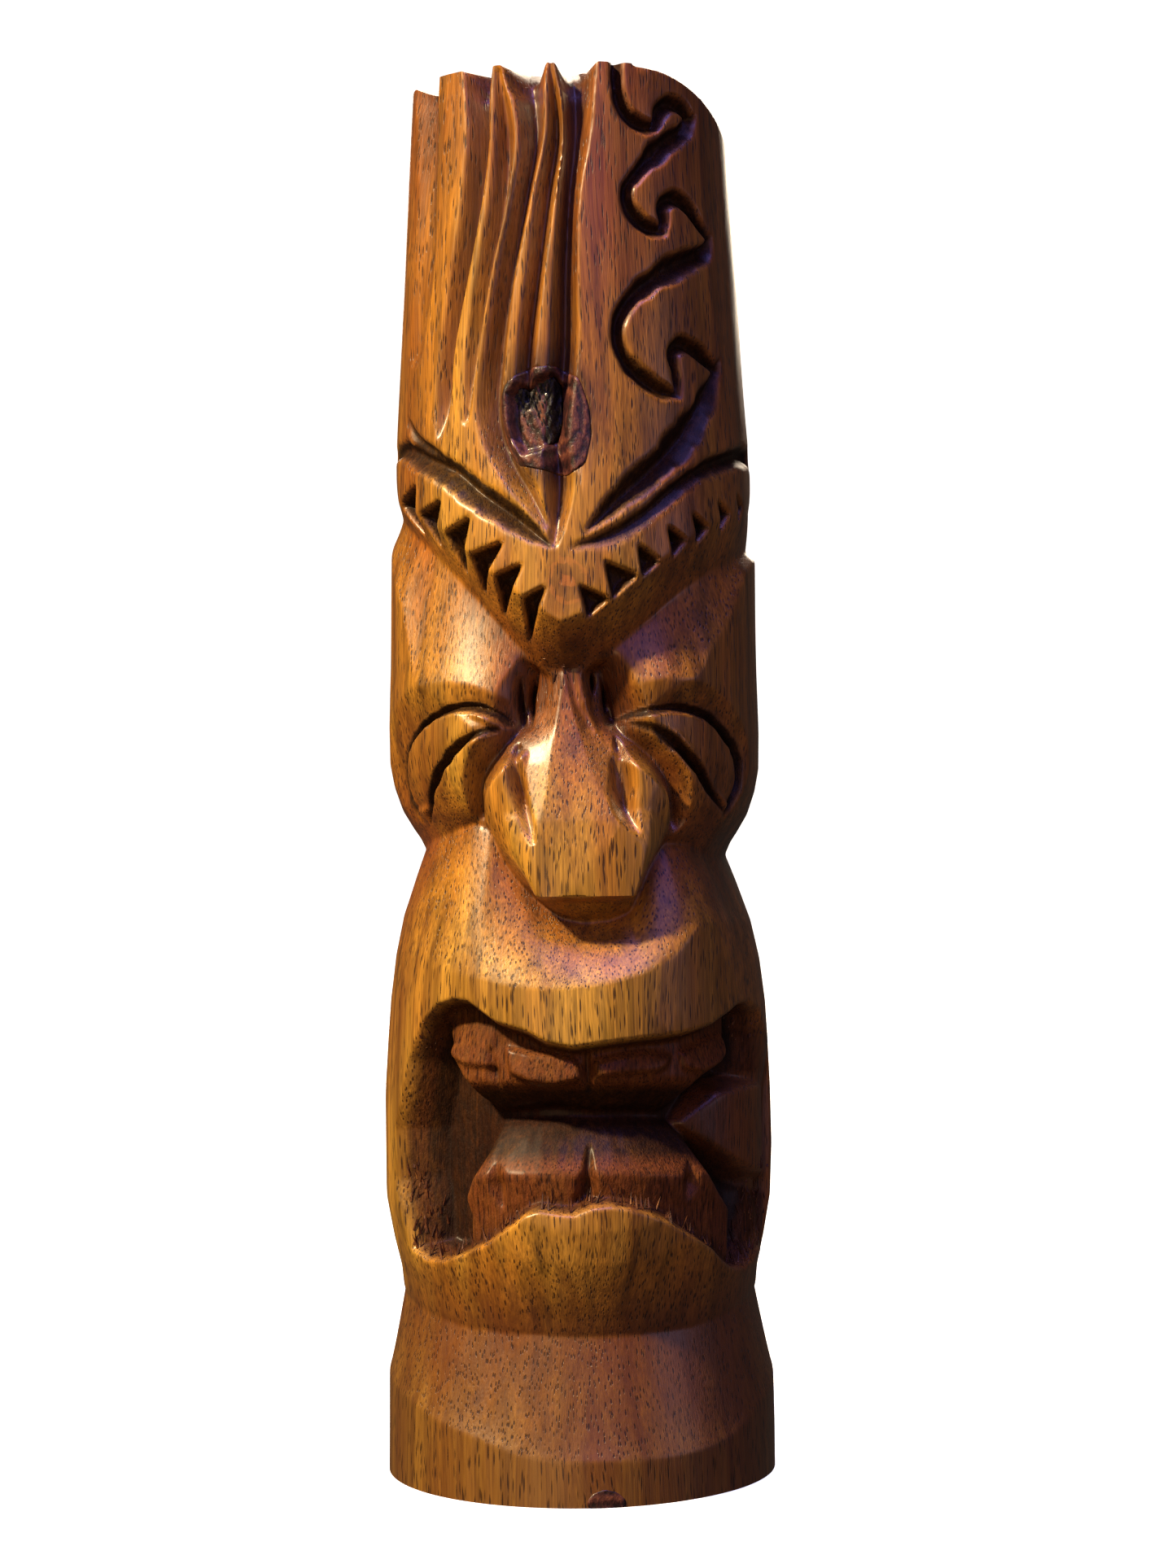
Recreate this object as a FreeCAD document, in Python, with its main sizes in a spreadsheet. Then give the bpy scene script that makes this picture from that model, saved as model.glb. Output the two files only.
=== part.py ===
"""Carved tiki figure, in millimetres: one log with a tall crown, a scowling face, a wide mouth and a foot.

The frame has +Z up, the figure faces -Y, and the origin is on the floor under the middle of the foot.
The figure is one piece of wood. What is physically separate from it is what grew into the log: the dead
branch stub in the crown, the ring of bark that the trunk closed around it, and the small dead knot at the
foot's edge.

Carved lines are written on the log's own surface as bearings and levels. A bearing is in degrees from the
front, positive towards +X. A level is a height on the nominal figure, and level() moves it with the four
tiers: foot, muzzle, face and crown.
"""

import FreeCAD, Part  # noqa: E401  FreeCAD has to come first
import math
import os

import Sketcher
from FreeCAD import Placement, Rotation, Vector

OUT = "parts"
SHEET = "sizes"

# Driving dimensions: alias, value, what it is.
SIZES = [
    ("foot_height", 38.0, "floor to the neck under the chin"),
    ("muzzle_height", 98.0, "that neck to the notch under the cheeks"),
    ("face_height", 72.0, "cheek notch to the crown's lower edge at the sides"),
    ("crown_height", 97.0, "that edge to the flat top"),
    ("foot_radius", 43.0, "foot, and the blank log"),
    ("neck_radius", 39.2, "neck between foot and chin"),
    ("muzzle_radius", 43.0, "muzzle at the mouth"),
    ("notch_radius", 33.2, "notch between muzzle and cheeks"),
    ("cheek_radius", 41.1, "cheeks"),
    ("crown_radius", 39.8, "crown at its lower edge"),
    ("top_radius", 34.3, "crown at the flat top"),
    ("shoulder_radius", 24.3, "round shoulder at the top, right side"),
    ("shoulder_start", 14.0, "where that shoulder leaves the flat top"),
    ("hair_depth", 3.2, "flutes of the crown"),
    ("scroll_depth", 3.0, "wave scroll of the crown"),
    ("scroll_half_width", 2.2, "half of the scroll's width at the surface"),
    ("leaf_depth", 4.0, "leaf cuts over the crown's lower edge"),
    ("chip_depth", 4.6, "triangular chips along the crown's lower edge"),
    ("brow_depth", 11.0, "valley between crown and brow, at the front"),
    ("side_valley_depth", 2.4, "the same valley at the sides and back"),
    ("lip_depth", 6.0, "valley between nose and upper lip"),
    ("chin_depth", 4.0, "valley between chin and foot, at the front"),
    ("eye_depth", 4.6, "crescent cuts around each eye"),
    ("bridge_depth", 12.0, "hollows beside the bridge of the nose"),
    ("nose_width", 37.0, "across the wings of the nose"),
    ("nose_tip_width", 19.5, "across the flat underside of the nose"),
    ("nose_radius", 42.9, "front of the nose from the log's axis"),
    ("nostril_depth", 9.5, "slots beside the ridge of the nose, from the log's own surface"),
    ("mouth_depth", 4.4, "teeth below the lips"),
    ("jaw_gap_depth", 7.5, "slot between the jaws, below the teeth"),
    ("mouth_corner_depth", 9.0, "hollows at the corners of the mouth, below the teeth"),
    ("tooth_gap_depth", 3.0, "notches between the teeth"),
    ("knot_width", 12.4, "dead knot, across the grain"),
    ("knot_length", 16.8, "dead knot, along the grain"),
    ("knot_sink", 4.4, "face of the dead knot below the crown's surface"),
    ("knot_reach", 24.0, "dead knot and its bark, from the crown's surface inwards"),
    ("knot_taper", 0.6, "size of the knot's inner end, as a share of its face"),
    ("bark_thickness", 2.7, "ring of bark around the dead knot"),
    ("foot_knot_radius", 4.2, "small dead knot at the foot's edge"),
    ("foot_knot_reach", 14.0, "the same knot, from the foot's surface inwards"),
]

doc = FreeCAD.newDocument("tiki")


def make_sheet():
    """The spreadsheet of driving dimensions."""
    sheet = doc.addObject("Spreadsheet::Sheet", SHEET)
    sheet.Label = SHEET
    for row, (alias, value, words) in enumerate(SIZES, start=1):
        sheet.set(f"A{row}", words)
        sheet.set(f"B{row}", str(value))
        sheet.setAlias(f"B{row}", alias)
    doc.recompute()
    return sheet


sheet = make_sheet()


def size(alias):
    """A driving dimension's value, read from the sheet."""
    return float(sheet.get(alias))


def cell(alias):
    """A driving dimension as an expression."""
    return f"<<{SHEET}>>.{alias}"


# ---------------------------------------------------------------- the log's outline

# The tiers' heights on the nominal figure, which the written levels refer to.
NOMINAL_TIERS = (38.0, 98.0, 72.0, 97.0)
TIER_ALIASES = ("foot_height", "muzzle_height", "face_height", "crown_height")

# Round sections of the log: tier, share of its height, radius, waist radius, share of the way to the waist.
SECTIONS = [
    ("foot", 0.00, "foot_radius", "neck_radius", 0.00),
    ("foot", 0.45, "foot_radius", "neck_radius", 0.03),
    ("foot", 0.72, "foot_radius", "neck_radius", 0.20),
    ("foot", 0.90, "foot_radius", "neck_radius", 0.60),
    ("foot", 1.00, "foot_radius", "neck_radius", 1.00),
    ("muzzle", 0.12, "muzzle_radius", "neck_radius", 0.42),
    ("muzzle", 0.22, "muzzle_radius", "neck_radius", 0.08),
    ("muzzle", 0.34, "muzzle_radius", "neck_radius", 0.00),
    ("muzzle", 0.60, "muzzle_radius", "notch_radius", 0.08),
    ("muzzle", 0.78, "muzzle_radius", "notch_radius", 0.27),
    ("muzzle", 0.90, "muzzle_radius", "notch_radius", 0.56),
    ("muzzle", 1.00, "muzzle_radius", "notch_radius", 1.00),
    ("face", 0.07, "cheek_radius", "notch_radius", 0.66),
    ("face", 0.14, "cheek_radius", "notch_radius", 0.30),
    ("face", 0.24, "cheek_radius", "notch_radius", 0.06),
    ("face", 0.38, "cheek_radius", "crown_radius", 0.00),
    ("face", 0.70, "cheek_radius", "crown_radius", 0.50),
    ("face", 1.00, "cheek_radius", "crown_radius", 1.00),
    ("crown", 0.20, "crown_radius", "top_radius", 0.14),
    ("crown", 0.40, "crown_radius", "top_radius", 0.32),
    ("crown", 0.60, "crown_radius", "top_radius", 0.54),
    ("crown", 0.80, "crown_radius", "top_radius", 0.77),
    ("crown", 1.00, "crown_radius", "top_radius", 1.00),
]
TIER_INDEX = {"foot": 0, "muzzle": 1, "face": 2, "crown": 3}


def tier_bottom(index):
    """Height of a tier's lower end."""
    return sum(size(a) for a in TIER_ALIASES[:index])


def height_expression(tier, share):
    """A section's height, in cells."""
    index = TIER_INDEX[tier]
    below = [cell(a) for a in TIER_ALIASES[:index]]
    return " + ".join(below + [f"{share} * {cell(TIER_ALIASES[index])}"])


def level(z):
    """Where a height on the nominal figure lies on this one."""
    start = 0.0
    for index, nominal in enumerate(NOMINAL_TIERS):
        if z <= start + nominal or index == len(NOMINAL_TIERS) - 1:
            return tier_bottom(index) + (z - start) / nominal * size(TIER_ALIASES[index])
        start += nominal


def section_table():
    """(height, radius) of each round section, lowest first."""
    rows = []
    for tier, share, full, waist, mix in SECTIONS:
        index = TIER_INDEX[tier]
        height = tier_bottom(index) + share * size(TIER_ALIASES[index])
        rows.append((height, size(full) + mix * (size(waist) - size(full))))
    return rows


TABLE = section_table()
TOP = TABLE[-1][0]


def log_radius(z):
    """The log's radius at a height."""
    if z <= TABLE[0][0]:
        return TABLE[0][1]
    for (low, r_low), (high, r_high) in zip(TABLE, TABLE[1:]):
        if z <= high:
            return r_low + (r_high - r_low) * (z - low) / (high - low)
    return TABLE[-1][1]


def on_log(bearing, z, depth=0.0):
    """The point at a bearing and a height, so deep under the log's surface."""
    r = log_radius(z) - depth
    a = math.radians(bearing)
    return Vector(r * math.sin(a), -r * math.cos(a), z)


def plane(body, role):
    """One of a body's own origin planes."""
    return next(f for f in body.Origin.OriginFeatures if f.Role == role)


def round_section(body, name, height, radius):
    """A circle about the log's axis, with its height and radius bound to cells."""
    sketch = body.newObject("Sketcher::SketchObject", name)
    sketch.AttachmentSupport = (plane(body, "XY_Plane"), [""])
    sketch.MapMode = "FlatFace"
    sketch.addGeometry(Part.Circle(Vector(0, 0, 0), Vector(0, 0, 1), 40.0))
    sketch.addConstraint(Sketcher.Constraint("Coincident", 0, 3, -1, 1))
    sketch.addConstraint(Sketcher.Constraint("Radius", 0, 40.0))
    sketch.setExpression("Constraints[1]", radius)
    sketch.setExpression("AttachmentOffset.Base.z", height)
    return sketch


def make_blank():
    """The turned log: three smooth tiers that meet in creases at the neck and at the notch."""
    body = doc.addObject("PartDesign::Body", "log_blank")
    sketches = []
    for number, (tier, share, full, waist, mix) in enumerate(SECTIONS):
        radius = f"{cell(full)} + {mix} * ({cell(waist)} - {cell(full)})"
        sketches.append(round_section(body, f"section_{number}", height_expression(tier, share), radius))
    creases = [0, 4, 11, len(sketches) - 1]
    for number, (first, last) in enumerate(zip(creases, creases[1:])):
        loft = body.newObject("PartDesign::AdditiveLoft", f"tier_{number}")
        loft.Profile = sketches[first]
        loft.Sections = sketches[first + 1 : last + 1]
        doc.recompute()
    return body


# ---------------------------------------------------------------- cutting tools

# How far a cutter's flanks run on past the log's surface, as a share of the flank.
OVERRUN = 0.5


def overrun(valley, rim):
    """The rim, carried on outwards along its flank."""
    return rim + (rim - valley) * OVERRUN


def v_cut(rows, upright=False):
    """The solid that a V tool removes along a route on the log.

    rows are (bearing, level, left, right, depth): the valley's place, how far the two rims lie from it on the
    surface, to the left and right of the way of travel, and the valley's depth. With upright, left is above
    the valley and right is below it, whichever way the route runs.
    """
    places = [(math.radians(b) * log_radius(level(z)), level(z)) for b, z, *_ in rows]
    wires = []
    for i, (bearing, z, left, right, depth) in enumerate(rows):
        before, after = places[max(i - 1, 0)], places[min(i + 1, len(rows) - 1)]
        along = Vector(after[0] - before[0], after[1] - before[1], 0)
        along.normalize()
        across = Vector(0, 1, 0) if upright else Vector(-along.y, along.x, 0)
        s, h = places[i]
        valley = on_log(bearing, h, depth)
        rims = []
        for sign, reach in ((1, left), (-1, right)):
            rim_h = h + sign * across.y * reach
            rim_s = s + sign * across.x * reach
            rim_bearing = math.degrees(rim_s / log_radius(h))
            rims.append(overrun(valley, on_log(rim_bearing, rim_h)))
        wires.append(Part.makePolygon([rims[0], valley, rims[1], rims[0]]))
    return Part.makeLoft(wires, True, False)


def flute(rows):
    """A flute of the crown: rows are (bearing, level, left, right, share of the hair's depth)."""
    return v_cut([(b, z, right, left, share * size("hair_depth")) for b, z, left, right, share in rows])


def stroke(rows, narrow=1.0):
    """One stroke of the wave scroll: rows are (bearing, level, share of the full width)."""
    w, d = size("scroll_half_width") * narrow, size("scroll_depth")
    return v_cut([(b, z, w * k, w * k, d * min(1.0, k + 0.2)) for b, z, k in rows])


def chip(corners):
    """A triangular chip: a pyramid from three corners on the surface down to a point under the last two."""
    points = [on_log(b, level(z)) for b, z in corners]
    bearing = 0.25 * corners[0][0] + 0.25 * corners[1][0] + 0.5 * corners[2][0]
    z = sum(level(c[1]) for c in corners) / 3
    deep = on_log(bearing, z, size("chip_depth"))
    a, b, c = (overrun(deep, p) for p in points)
    faces = [
        Part.Face(Part.makePolygon([*corner, corner[0]]))
        for corner in ((a, b, c), (a, b, deep), (b, c, deep), (c, a, deep))
    ]
    return Part.makeSolid(Part.makeShell(faces))


# ---------------------------------------------------------------- routes of the carved lines

# Flutes of the crown, from the top down: bearing, level, left, right, share of the hair's depth.
FLUTES = [
    [(-61, 307, 6.5, 5.0, 0.8), (-58, 293, 6.0, 4.0, 0.7), (-57, 280, 5.4, 3.4, 0.6),
     (-58, 262, 4.8, 3.2, 0.4),
     (-62, 244, 3.4, 3.0, 0.25)],
    [(-33, 308, 3.2, 2.6, 1.2), (-32, 291, 4.1, 2.0, 1.1), (-34, 278, 3.3, 2.5, 1.0),
     (-38, 262, 3.1, 2.2, 1.0),
     (-43, 245, 2.7, 1.8, 0.8), (-46, 229, 1.6, 1.6, 0.4)],
    [(-25, 306, 0.7, 0.7, 0.3), (-22.6, 290, 2.2, 2.3, 0.8), (-23, 278, 2.8, 1.2, 0.8),
     (-28, 261, 2.5, 1.0, 0.8),
     (-32.5, 244, 2.2, 1.0, 0.7), (-35, 229, 0.8, 0.8, 0.3)],
    [(-14.5, 308, 3.6, 3.2, 1.2), (-11.4, 290, 2.9, 2.0, 1.0), (-15, 277, 2.6, 1.6, 1.0),
     (-20, 261, 3.1, 1.5, 1.0),
     (-24.3, 244, 3.3, 2.3, 1.1), (-24.8, 229, 3.8, 2.4, 1.0), (-19.5, 219.5, 3.2, 2.5, 0.9),
     (-13, 213, 2.6, 2.0, 0.8), (-7.5, 206.5, 1.2, 0.8, 0.4)],
    [(-5.5, 307, 0.5, 0.5, 0.3), (-3.8, 289, 1.9, 1.4, 0.8), (-6.7, 277, 2.6, 1.4, 0.9),
     (-10.3, 260, 2.5, 1.4, 0.9),
     (-14, 243, 1.9, 2.0, 1.0), (-15, 233, 1.7, 1.5, 0.9)],
    [(3, 308, 3.2, 2.8, 1.3), (3.4, 289, 2.6, 1.6, 1.1), (0.9, 277, 2.5, 1.9, 1.0),
     (-0.9, 260, 2.7, 2.4, 1.1),
     (-1.8, 243, 3.0, 2.9, 1.2), (-4.5, 223, 2.6, 2.6, 1.2), (-3.8, 214, 3.0, 3.0, 1.0),
     (-4.8, 204, 1.2, 1.0, 0.4)],
]

# Wave scroll, stroke by stroke from the top: bearing, level, share of the full width.
STROKES = [
    [(18.5, 308, 1.0), (18.4, 299, 1.0), (20, 295, 1.0), (25, 292.2, 0.9), (31, 291.4, 0.7)],
    [(29, 290.8, 0.3), (33, 292.8, 0.8), (36, 296, 1.0), (41.5, 297.4, 1.0), (48.5, 294.6, 0.9)],
    [(50, 295.6, 0.5), (46.5, 292, 1.1), (37.6, 288.3, 1.3), (29.3, 284, 1.2), (22, 279.2, 0.8)],
    [(23, 280.6, 0.5), (20.4, 276.8, 0.9), (21.6, 273.2, 1.0), (27, 270.3, 1.0), (34, 269.2, 0.6)],
    [(33.5, 268.8, 0.4), (34, 272, 0.8), (35, 275.4, 1.0), (41, 276.8, 1.1), (49.5, 273.4, 1.0),
     (56, 269, 0.7)],
    [(57.5, 270, 0.5), (54.5, 266.3, 1.1), (46.5, 263.8, 1.5), (37, 261.2, 1.5), (27.6, 257.8, 1.3),
     (20, 253.4, 1.0),
     (16, 249, 0.9), (16, 245, 1.0), (18.8, 240.8, 1.0), (24.5, 237.2, 1.0), (31, 235, 0.8),
     (36.5, 234.6, 0.4)],
    [(36.5, 234.6, 0.4), (35.6, 238.5, 0.8), (36, 243, 1.0), (41, 245.2, 1.1), (48.5, 243.8, 1.1),
     (56, 240.6, 0.7)],
]

# Leaf cuts: bearing, level, left, right, share of the leaf's depth. The first two lie right of the middle.
LEAVES = [
    [(57, 242, 0.8, 0.8, 0.3), (53.5, 236.5, 2.4, 2.4, 0.8), (47.5, 231, 3.2, 3.2, 1.0),
     (37.5, 224, 3.8, 3.6, 1.0),
     (26.5, 217.3, 3.6, 3.4, 0.9), (15.5, 211.4, 2.6, 2.6, 0.7), (5, 205.2, 0.7, 0.7, 0.2)],
    [(86, 222.5, 2.4, 2.4, 0.6), (72, 222.6, 2.6, 2.6, 0.7), (58, 220.8, 2.4, 2.2, 0.7),
     (44, 217.2, 1.8, 2.2, 0.6),
     (32, 212.6, 1.6, 2.0, 0.6), (21, 207.6, 1.4, 2.0, 0.5), (10, 203.6, 1.0, 1.6, 0.4),
     (0, 201.6, 0.5, 0.6, 0.2)],
    [(-84, 224.8, 1.2, 1.2, 0.3), (-67, 224.6, 2.4, 2.2, 0.6), (-54, 221.6, 3.0, 2.4, 0.8),
     (-41, 218, 3.4, 2.6, 0.9),
     (-31, 213.4, 3.2, 2.6, 0.9), (-22, 209.2, 3.0, 2.6, 0.9), (-13.5, 205.2, 2.4, 2.2, 0.8),
     (-5.5, 201.6, 0.6, 0.6, 0.2)],
    [(-66, 233, 0.6, 0.6, 0.2), (-60.5, 228, 2.0, 1.6, 0.6), (-51, 223.6, 2.2, 1.6, 0.6),
     (-40, 219.2, 1.0, 1.0, 0.4)],
]

# Triangular chips along the crown's lower edge: (bearing, level) of the top, the outer and the lower corner.
CHIPS = [
    [(-55.3, 216.8), (-65.0, 212.8), (-54.5, 207.0)],
    [(-41.6, 212.3), (-50.8, 209.0), (-45.5, 203.4)],
    [(-29.7, 208.2), (-38.0, 203.6), (-35.5, 197.2)],
    [(-18.3, 202.8), (-28.6, 200.0), (-28.0, 192.8)],
    [(-12.5, 197.8), (-19.4, 194.8), (-20.4, 187.6)],
    [(-5.8, 193.3), (-11.5, 189.8), (-12.4, 181.6)],
    [(3.3, 193.3), (12.1, 188.9), (7.0, 182.6)],
    [(11.7, 197.9), (20.0, 194.2), (16.6, 187.6)],
    [(22.2, 201.8), (28.6, 197.9), (25.4, 191.2)],
    [(32.3, 205.8), (38.6, 202.0), (35.2, 195.4)],
    [(42.7, 209.0), (49.0, 205.4), (45.0, 199.4)],
    [(55.4, 212.2), (60.0, 209.4), (51.0, 202.8)],
    [(66.6, 213.5), (70.0, 210.4), (61.5, 205.6)],
]

# Valleys between the tiers: bearing, level, reach above, reach below, share of the valley's full depth.
BROW_VALLEY = [
    [(-181, 207, 4.0, 6.0, 0.0), (-150, 207, 4.0, 6.0, 0.0), (-120, 208, 4.0, 6.0, 0.0),
     (-98, 210, 3.0, 7.0, 0.0),
     (-80, 213.0, 2.6, 9.0, 0.1), (-60, 206.5, 2.8, 15.0, 0.45), (-40, 196.5, 3.0, 22.0, 0.85),
     (-20, 184.2, 3.2, 16.0, 1.0), (-2.5, 175.6, 3.2, 13.0, 1.0), (3.5, 173.0, 3.2, 12.0, 1.0)],
    [(-8.5, 173.0, 3.2, 12.0, 1.0), (-2.5, 175.6, 3.2, 13.0, 1.0), (17, 181.4, 3.2, 12.0, 1.0),
     (38, 190.8, 3.0, 17.0, 0.85),
     (57, 197.2, 2.8, 14.0, 0.45), (80, 201.0, 3.0, 9.0, 0.1), (100, 203.5, 3.4, 7.0, 0.0),
     (125, 206, 4.0, 6.0, 0.0),
     (152, 207, 4.0, 6.0, 0.0), (181, 207, 4.0, 6.0, 0.0)],
]
LIP_VALLEY = [
    (-76, 139.5, 1.2, 1.5, 0.0), (-64, 140.5, 3.0, 6.0, 0.2), (-50, 141.2, 4.0, 12.0, 0.4),
    (-32, 141.0, 4.5, 22.0, 0.7),
    (-18, 130.5, 5.0, 18.0, 0.9), (0, 122.8, 5.0, 13.0, 1.0), (17, 123.6, 5.0, 14.0, 0.9),
    (32, 135.0, 4.5, 20.0, 0.7), (48, 139.5, 4.0, 14.0, 0.45), (62, 139.5, 3.0, 6.0, 0.2),
    (74, 138.8, 1.2, 1.5, 0.0),
]
CHIN_VALLEY = [
    (-85, 37.5, 3.0, 3.0, 0.1), (-62, 36.0, 9.0, 14.0, 0.7), (-30, 35.2, 14.0, 21.0, 1.0),
    (0, 35.0, 15.0, 25.0, 1.0),
    (30, 35.0, 14.0, 24.0, 1.0), (62, 35.0, 9.0, 16.0, 0.7), (85, 37.5, 3.0, 3.0, 0.1),
]

# Crescents of the eyes, outer end first: bearing, level, left, right, share of the eye's depth.
EYES = [
    [(-78, 149, 2.0, 1.0, 0.4), (-74, 157, 5.0, 1.4, 0.9), (-65, 162.6, 6.0, 1.6, 1.0),
     (-54, 166.0, 6.4, 1.6, 1.0),
     (-42, 168.0, 5.0, 1.4, 1.0), (-31, 167.4, 3.4, 1.2, 0.9), (-22.5, 163.6, 1.6, 0.8, 0.5)],
    [(-63, 145.0, 1.0, 1.4, 0.4), (-56, 150.4, 1.6, 3.6, 0.9), (-46, 156.4, 2.0, 4.2, 1.1),
     (-37, 161.0, 1.6, 3.0, 1.0),
     (-26, 163.4, 0.8, 1.0, 0.4)],
    [(76, 146, 1.0, 2.0, 0.4), (79, 152, 1.2, 4.0, 0.7), (73, 158.6, 1.4, 5.0, 0.9),
     (63, 163.2, 1.6, 6.0, 1.0),
     (52, 166.8, 1.6, 6.4, 1.0), (40, 168.2, 1.4, 5.4, 1.0), (29, 167.6, 1.2, 3.6, 0.9),
     (21.5, 165.4, 0.8, 1.6, 0.5)],
    [(60, 146.6, 1.4, 1.0, 0.4), (51, 150.6, 3.6, 1.6, 0.9), (43, 155.6, 4.0, 2.0, 1.1),
     (34, 160.8, 3.0, 1.6, 1.0),
     (23, 164.4, 1.0, 0.8, 0.4)],
]

# Hollows beside the bridge of the nose: bearing, level, left, right, share of the bridge's depth.
BRIDGE = [
    [(-11, 181, 5.0, 5.0, 0.8), (-15, 172, 4.6, 7.0, 0.9), (-18, 163, 5.0, 6.0, 0.8),
     (-27, 152, 4.5, 4.5, 0.5),
     (-33, 143, 3.0, 3.0, 0.3)],
    [(7, 181, 5.0, 5.0, 0.8), (11, 172, 7.0, 4.6, 0.9), (16, 163, 6.0, 5.0, 0.8), (28, 152, 4.5, 4.5, 0.5),
     (34, 143, 3.0, 3.0, 0.3)],
]

# Nose: level, half width of the ridge, half width at the wings (both as shares of the two named widths),
# how far the front and the wings stand behind the nose's front.
NOSE_SECTIONS = [
    (180.0, 0.10, 0.20, 14.5, 21.0),
    (166.0, 0.16, 0.34, 10.0, 18.0),
    (160.0, 0.30, 0.74, 7.6, 14.5),
    (154.0, 0.45, 0.96, 5.2, 11.5),
    (147.0, 0.62, 1.00, 3.0, 9.5),
    (142.0, 0.72, 0.98, 2.0, 8.5),
    (137.0, 0.84, 0.83, 1.0, 6.0),
    (132.4, 0.93, 0.66, 0.4, 3.4),
    (127.6, 1.00, 0.54, 0.0, 0.9),
]
NOSE_SHIFT = 1.6  # the nose leans a little to +X of the log's middle
NOSE_ROOT = 20.0  # the nose's back face from the log's axis, inside the wood

# Slots beside the nose's ridge, top first: bearing, level, left, right, share of the nostril's depth.
NOSTRILS = [
    [(-19, 158.5, 1.6, 1.8, 0.6), (-18, 152, 2.2, 2.0, 1.0), (-15.5, 146, 1.8, 1.8, 0.8),
     (-12, 139, 0.5, 0.5, 0.2)],
    [(15.5, 160, 1.0, 0.6, 0.4), (15.5, 152, 3.6, 2.4, 1.0), (16.5, 146.5, 3.2, 2.4, 0.8),
     (19, 141, 0.6, 0.6, 0.2)],
]

# Outline of the mouth as seen from the front: (x, level), clockwise from the left corner.
LIP_TOP = [(-37.5, 88.0), (-36.0, 96.0), (-32.5, 103.5), (-27.0, 106.6), (-21.0, 104.6), (-11.0, 99.8),
           (-1.0, 96.4), (10.0, 97.6), (20.0, 98.8), (28.0, 100.8), (34.5, 105.0),
           (37.6, 105.4), (39.6, 101.0), (40.4, 92.0)]
LIP_BOTTOM = [(40.6, 62.0), (39.2, 53.0), (36.0, 49.8), (30.0, 53.2), (22.0, 58.4), (14.0, 62.0),
              (6.0, 63.0), (-2.0, 61.2), (-9.0, 62.2), (-16.0, 58.2), (-25.0, 53.6), (-32.0, 52.0),
              (-36.6, 54.6), (-38.4, 64.0)]

MOUTH_END = 12.0  # how far in front of the log's axis the mouth's side walls stop

# Cuts inside the mouth, below the teeth: bearing, level, above, below, share of the slot's depth.
JAW_GAP = [
    (-44, 81.0, 5.0, 6.0, 0.5), (-30, 81.6, 9.0, 9.0, 1.0), (-12, 82.0, 6.5, 11.0, 1.0),
    (3, 81.6, 6.5, 10.0, 1.0),
    (22, 81.6, 8.0, 10.0, 1.0), (38, 81.4, 10.0, 9.0, 1.0), (50, 81.0, 5.0, 6.0, 0.5),
]
MOUTH_CORNERS = [
    [(-64, 79, 1.0, 1.0, 0.1), (-57, 79.5, 9.0, 10.0, 0.8), (-46, 80.5, 9.0, 9.0, 1.0),
     (-33, 81.4, 1.5, 1.5, 0.3)],
    [(72, 79, 1.0, 1.0, 0.1), (64, 79.5, 8.0, 9.0, 0.8), (53, 80.5, 9.0, 9.0, 1.0),
     (39, 81.4, 1.5, 1.5, 0.3)],
]
TOOTH_GAPS = [
    [(-34, 102, 1.0, 1.0, 0.2), (-30, 97, 3.8, 3.8, 1.0), (-27, 89, 3.4, 3.0, 0.9)],
    [(-17, 97.5, 0.8, 0.8, 0.2), (-18, 93, 2.6, 2.6, 0.8), (-20, 87, 1.6, 1.6, 0.5)],
    [(3, 96, 1.0, 1.0, 0.2), (3.2, 93, 3.0, 3.0, 1.0), (3.8, 87, 2.4, 2.4, 0.9)],
    [(33, 97, 0.8, 0.8, 0.2), (31, 93, 2.8, 2.8, 0.8), (29, 88, 2.0, 2.0, 0.6)],
    [(3.6, 74, 0.8, 0.8, 0.3), (3.2, 70, 3.0, 3.0, 0.9), (2.4, 64.5, 3.6, 3.6, 1.0)],
    [(-27, 73, 0.8, 0.8, 0.4), (-28, 67, 3.4, 3.0, 1.0), (-29, 58, 2.6, 2.2, 0.7)],
    [(37, 71, 0.8, 0.8, 0.4), (38.5, 66, 3.0, 3.4, 1.0), (40, 58, 2.2, 2.6, 0.7)],
]

# Dead knots: bearing and level of the middle.
CROWN_KNOT_AT = (-7.0, 230.0)
FOOT_KNOT_AT = (7.0, 0.0)

# Corners of the dead knot: shares of its half width and half length, and of the bark's thickness there.
KNOT_CORNERS = [
    (-1.00, 0.66, 1.2), (-0.52, 1.00, 0.7), (0.54, 0.86, 1.0), (0.94, 0.17, 1.5),
    (0.44, -0.66, 1.7), (-0.20, -0.96, 1.1), (-0.72, -0.72, 1.1), (-0.94, -0.10, 1.2),
]


def with_depth(rows, alias):
    """Rows whose last number is a share of a named depth, as rows in millimetres."""
    return [(*row[:-1], row[-1] * size(alias)) for row in rows]


def closer(rows, step=20.0):
    """The same route with rows at most so many degrees apart, which keeps a smooth loft round."""
    out = [rows[0]]
    for before, after in zip(rows, rows[1:]):
        count = math.ceil(abs(after[0] - before[0]) / step)
        for i in range(1, count + 1):
            out.append(tuple(p + (q - p) * i / count for p, q in zip(before, after)))
    return out


def valley(rows, alias, least=0.0):
    """A valley around the log, from least at its ends to the named depth, with upright flanks."""
    deep = size(alias)
    rows = [(*row[:-1], least + row[-1] * (deep - least)) for row in closer(rows)]
    return v_cut(rows, upright=True)


def brow_cutters():
    """The chevron valley between crown and brow. It runs right round the log."""
    least = size("side_valley_depth")
    return [valley(rows, "brow_depth", least) for rows in BROW_VALLEY]


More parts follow.
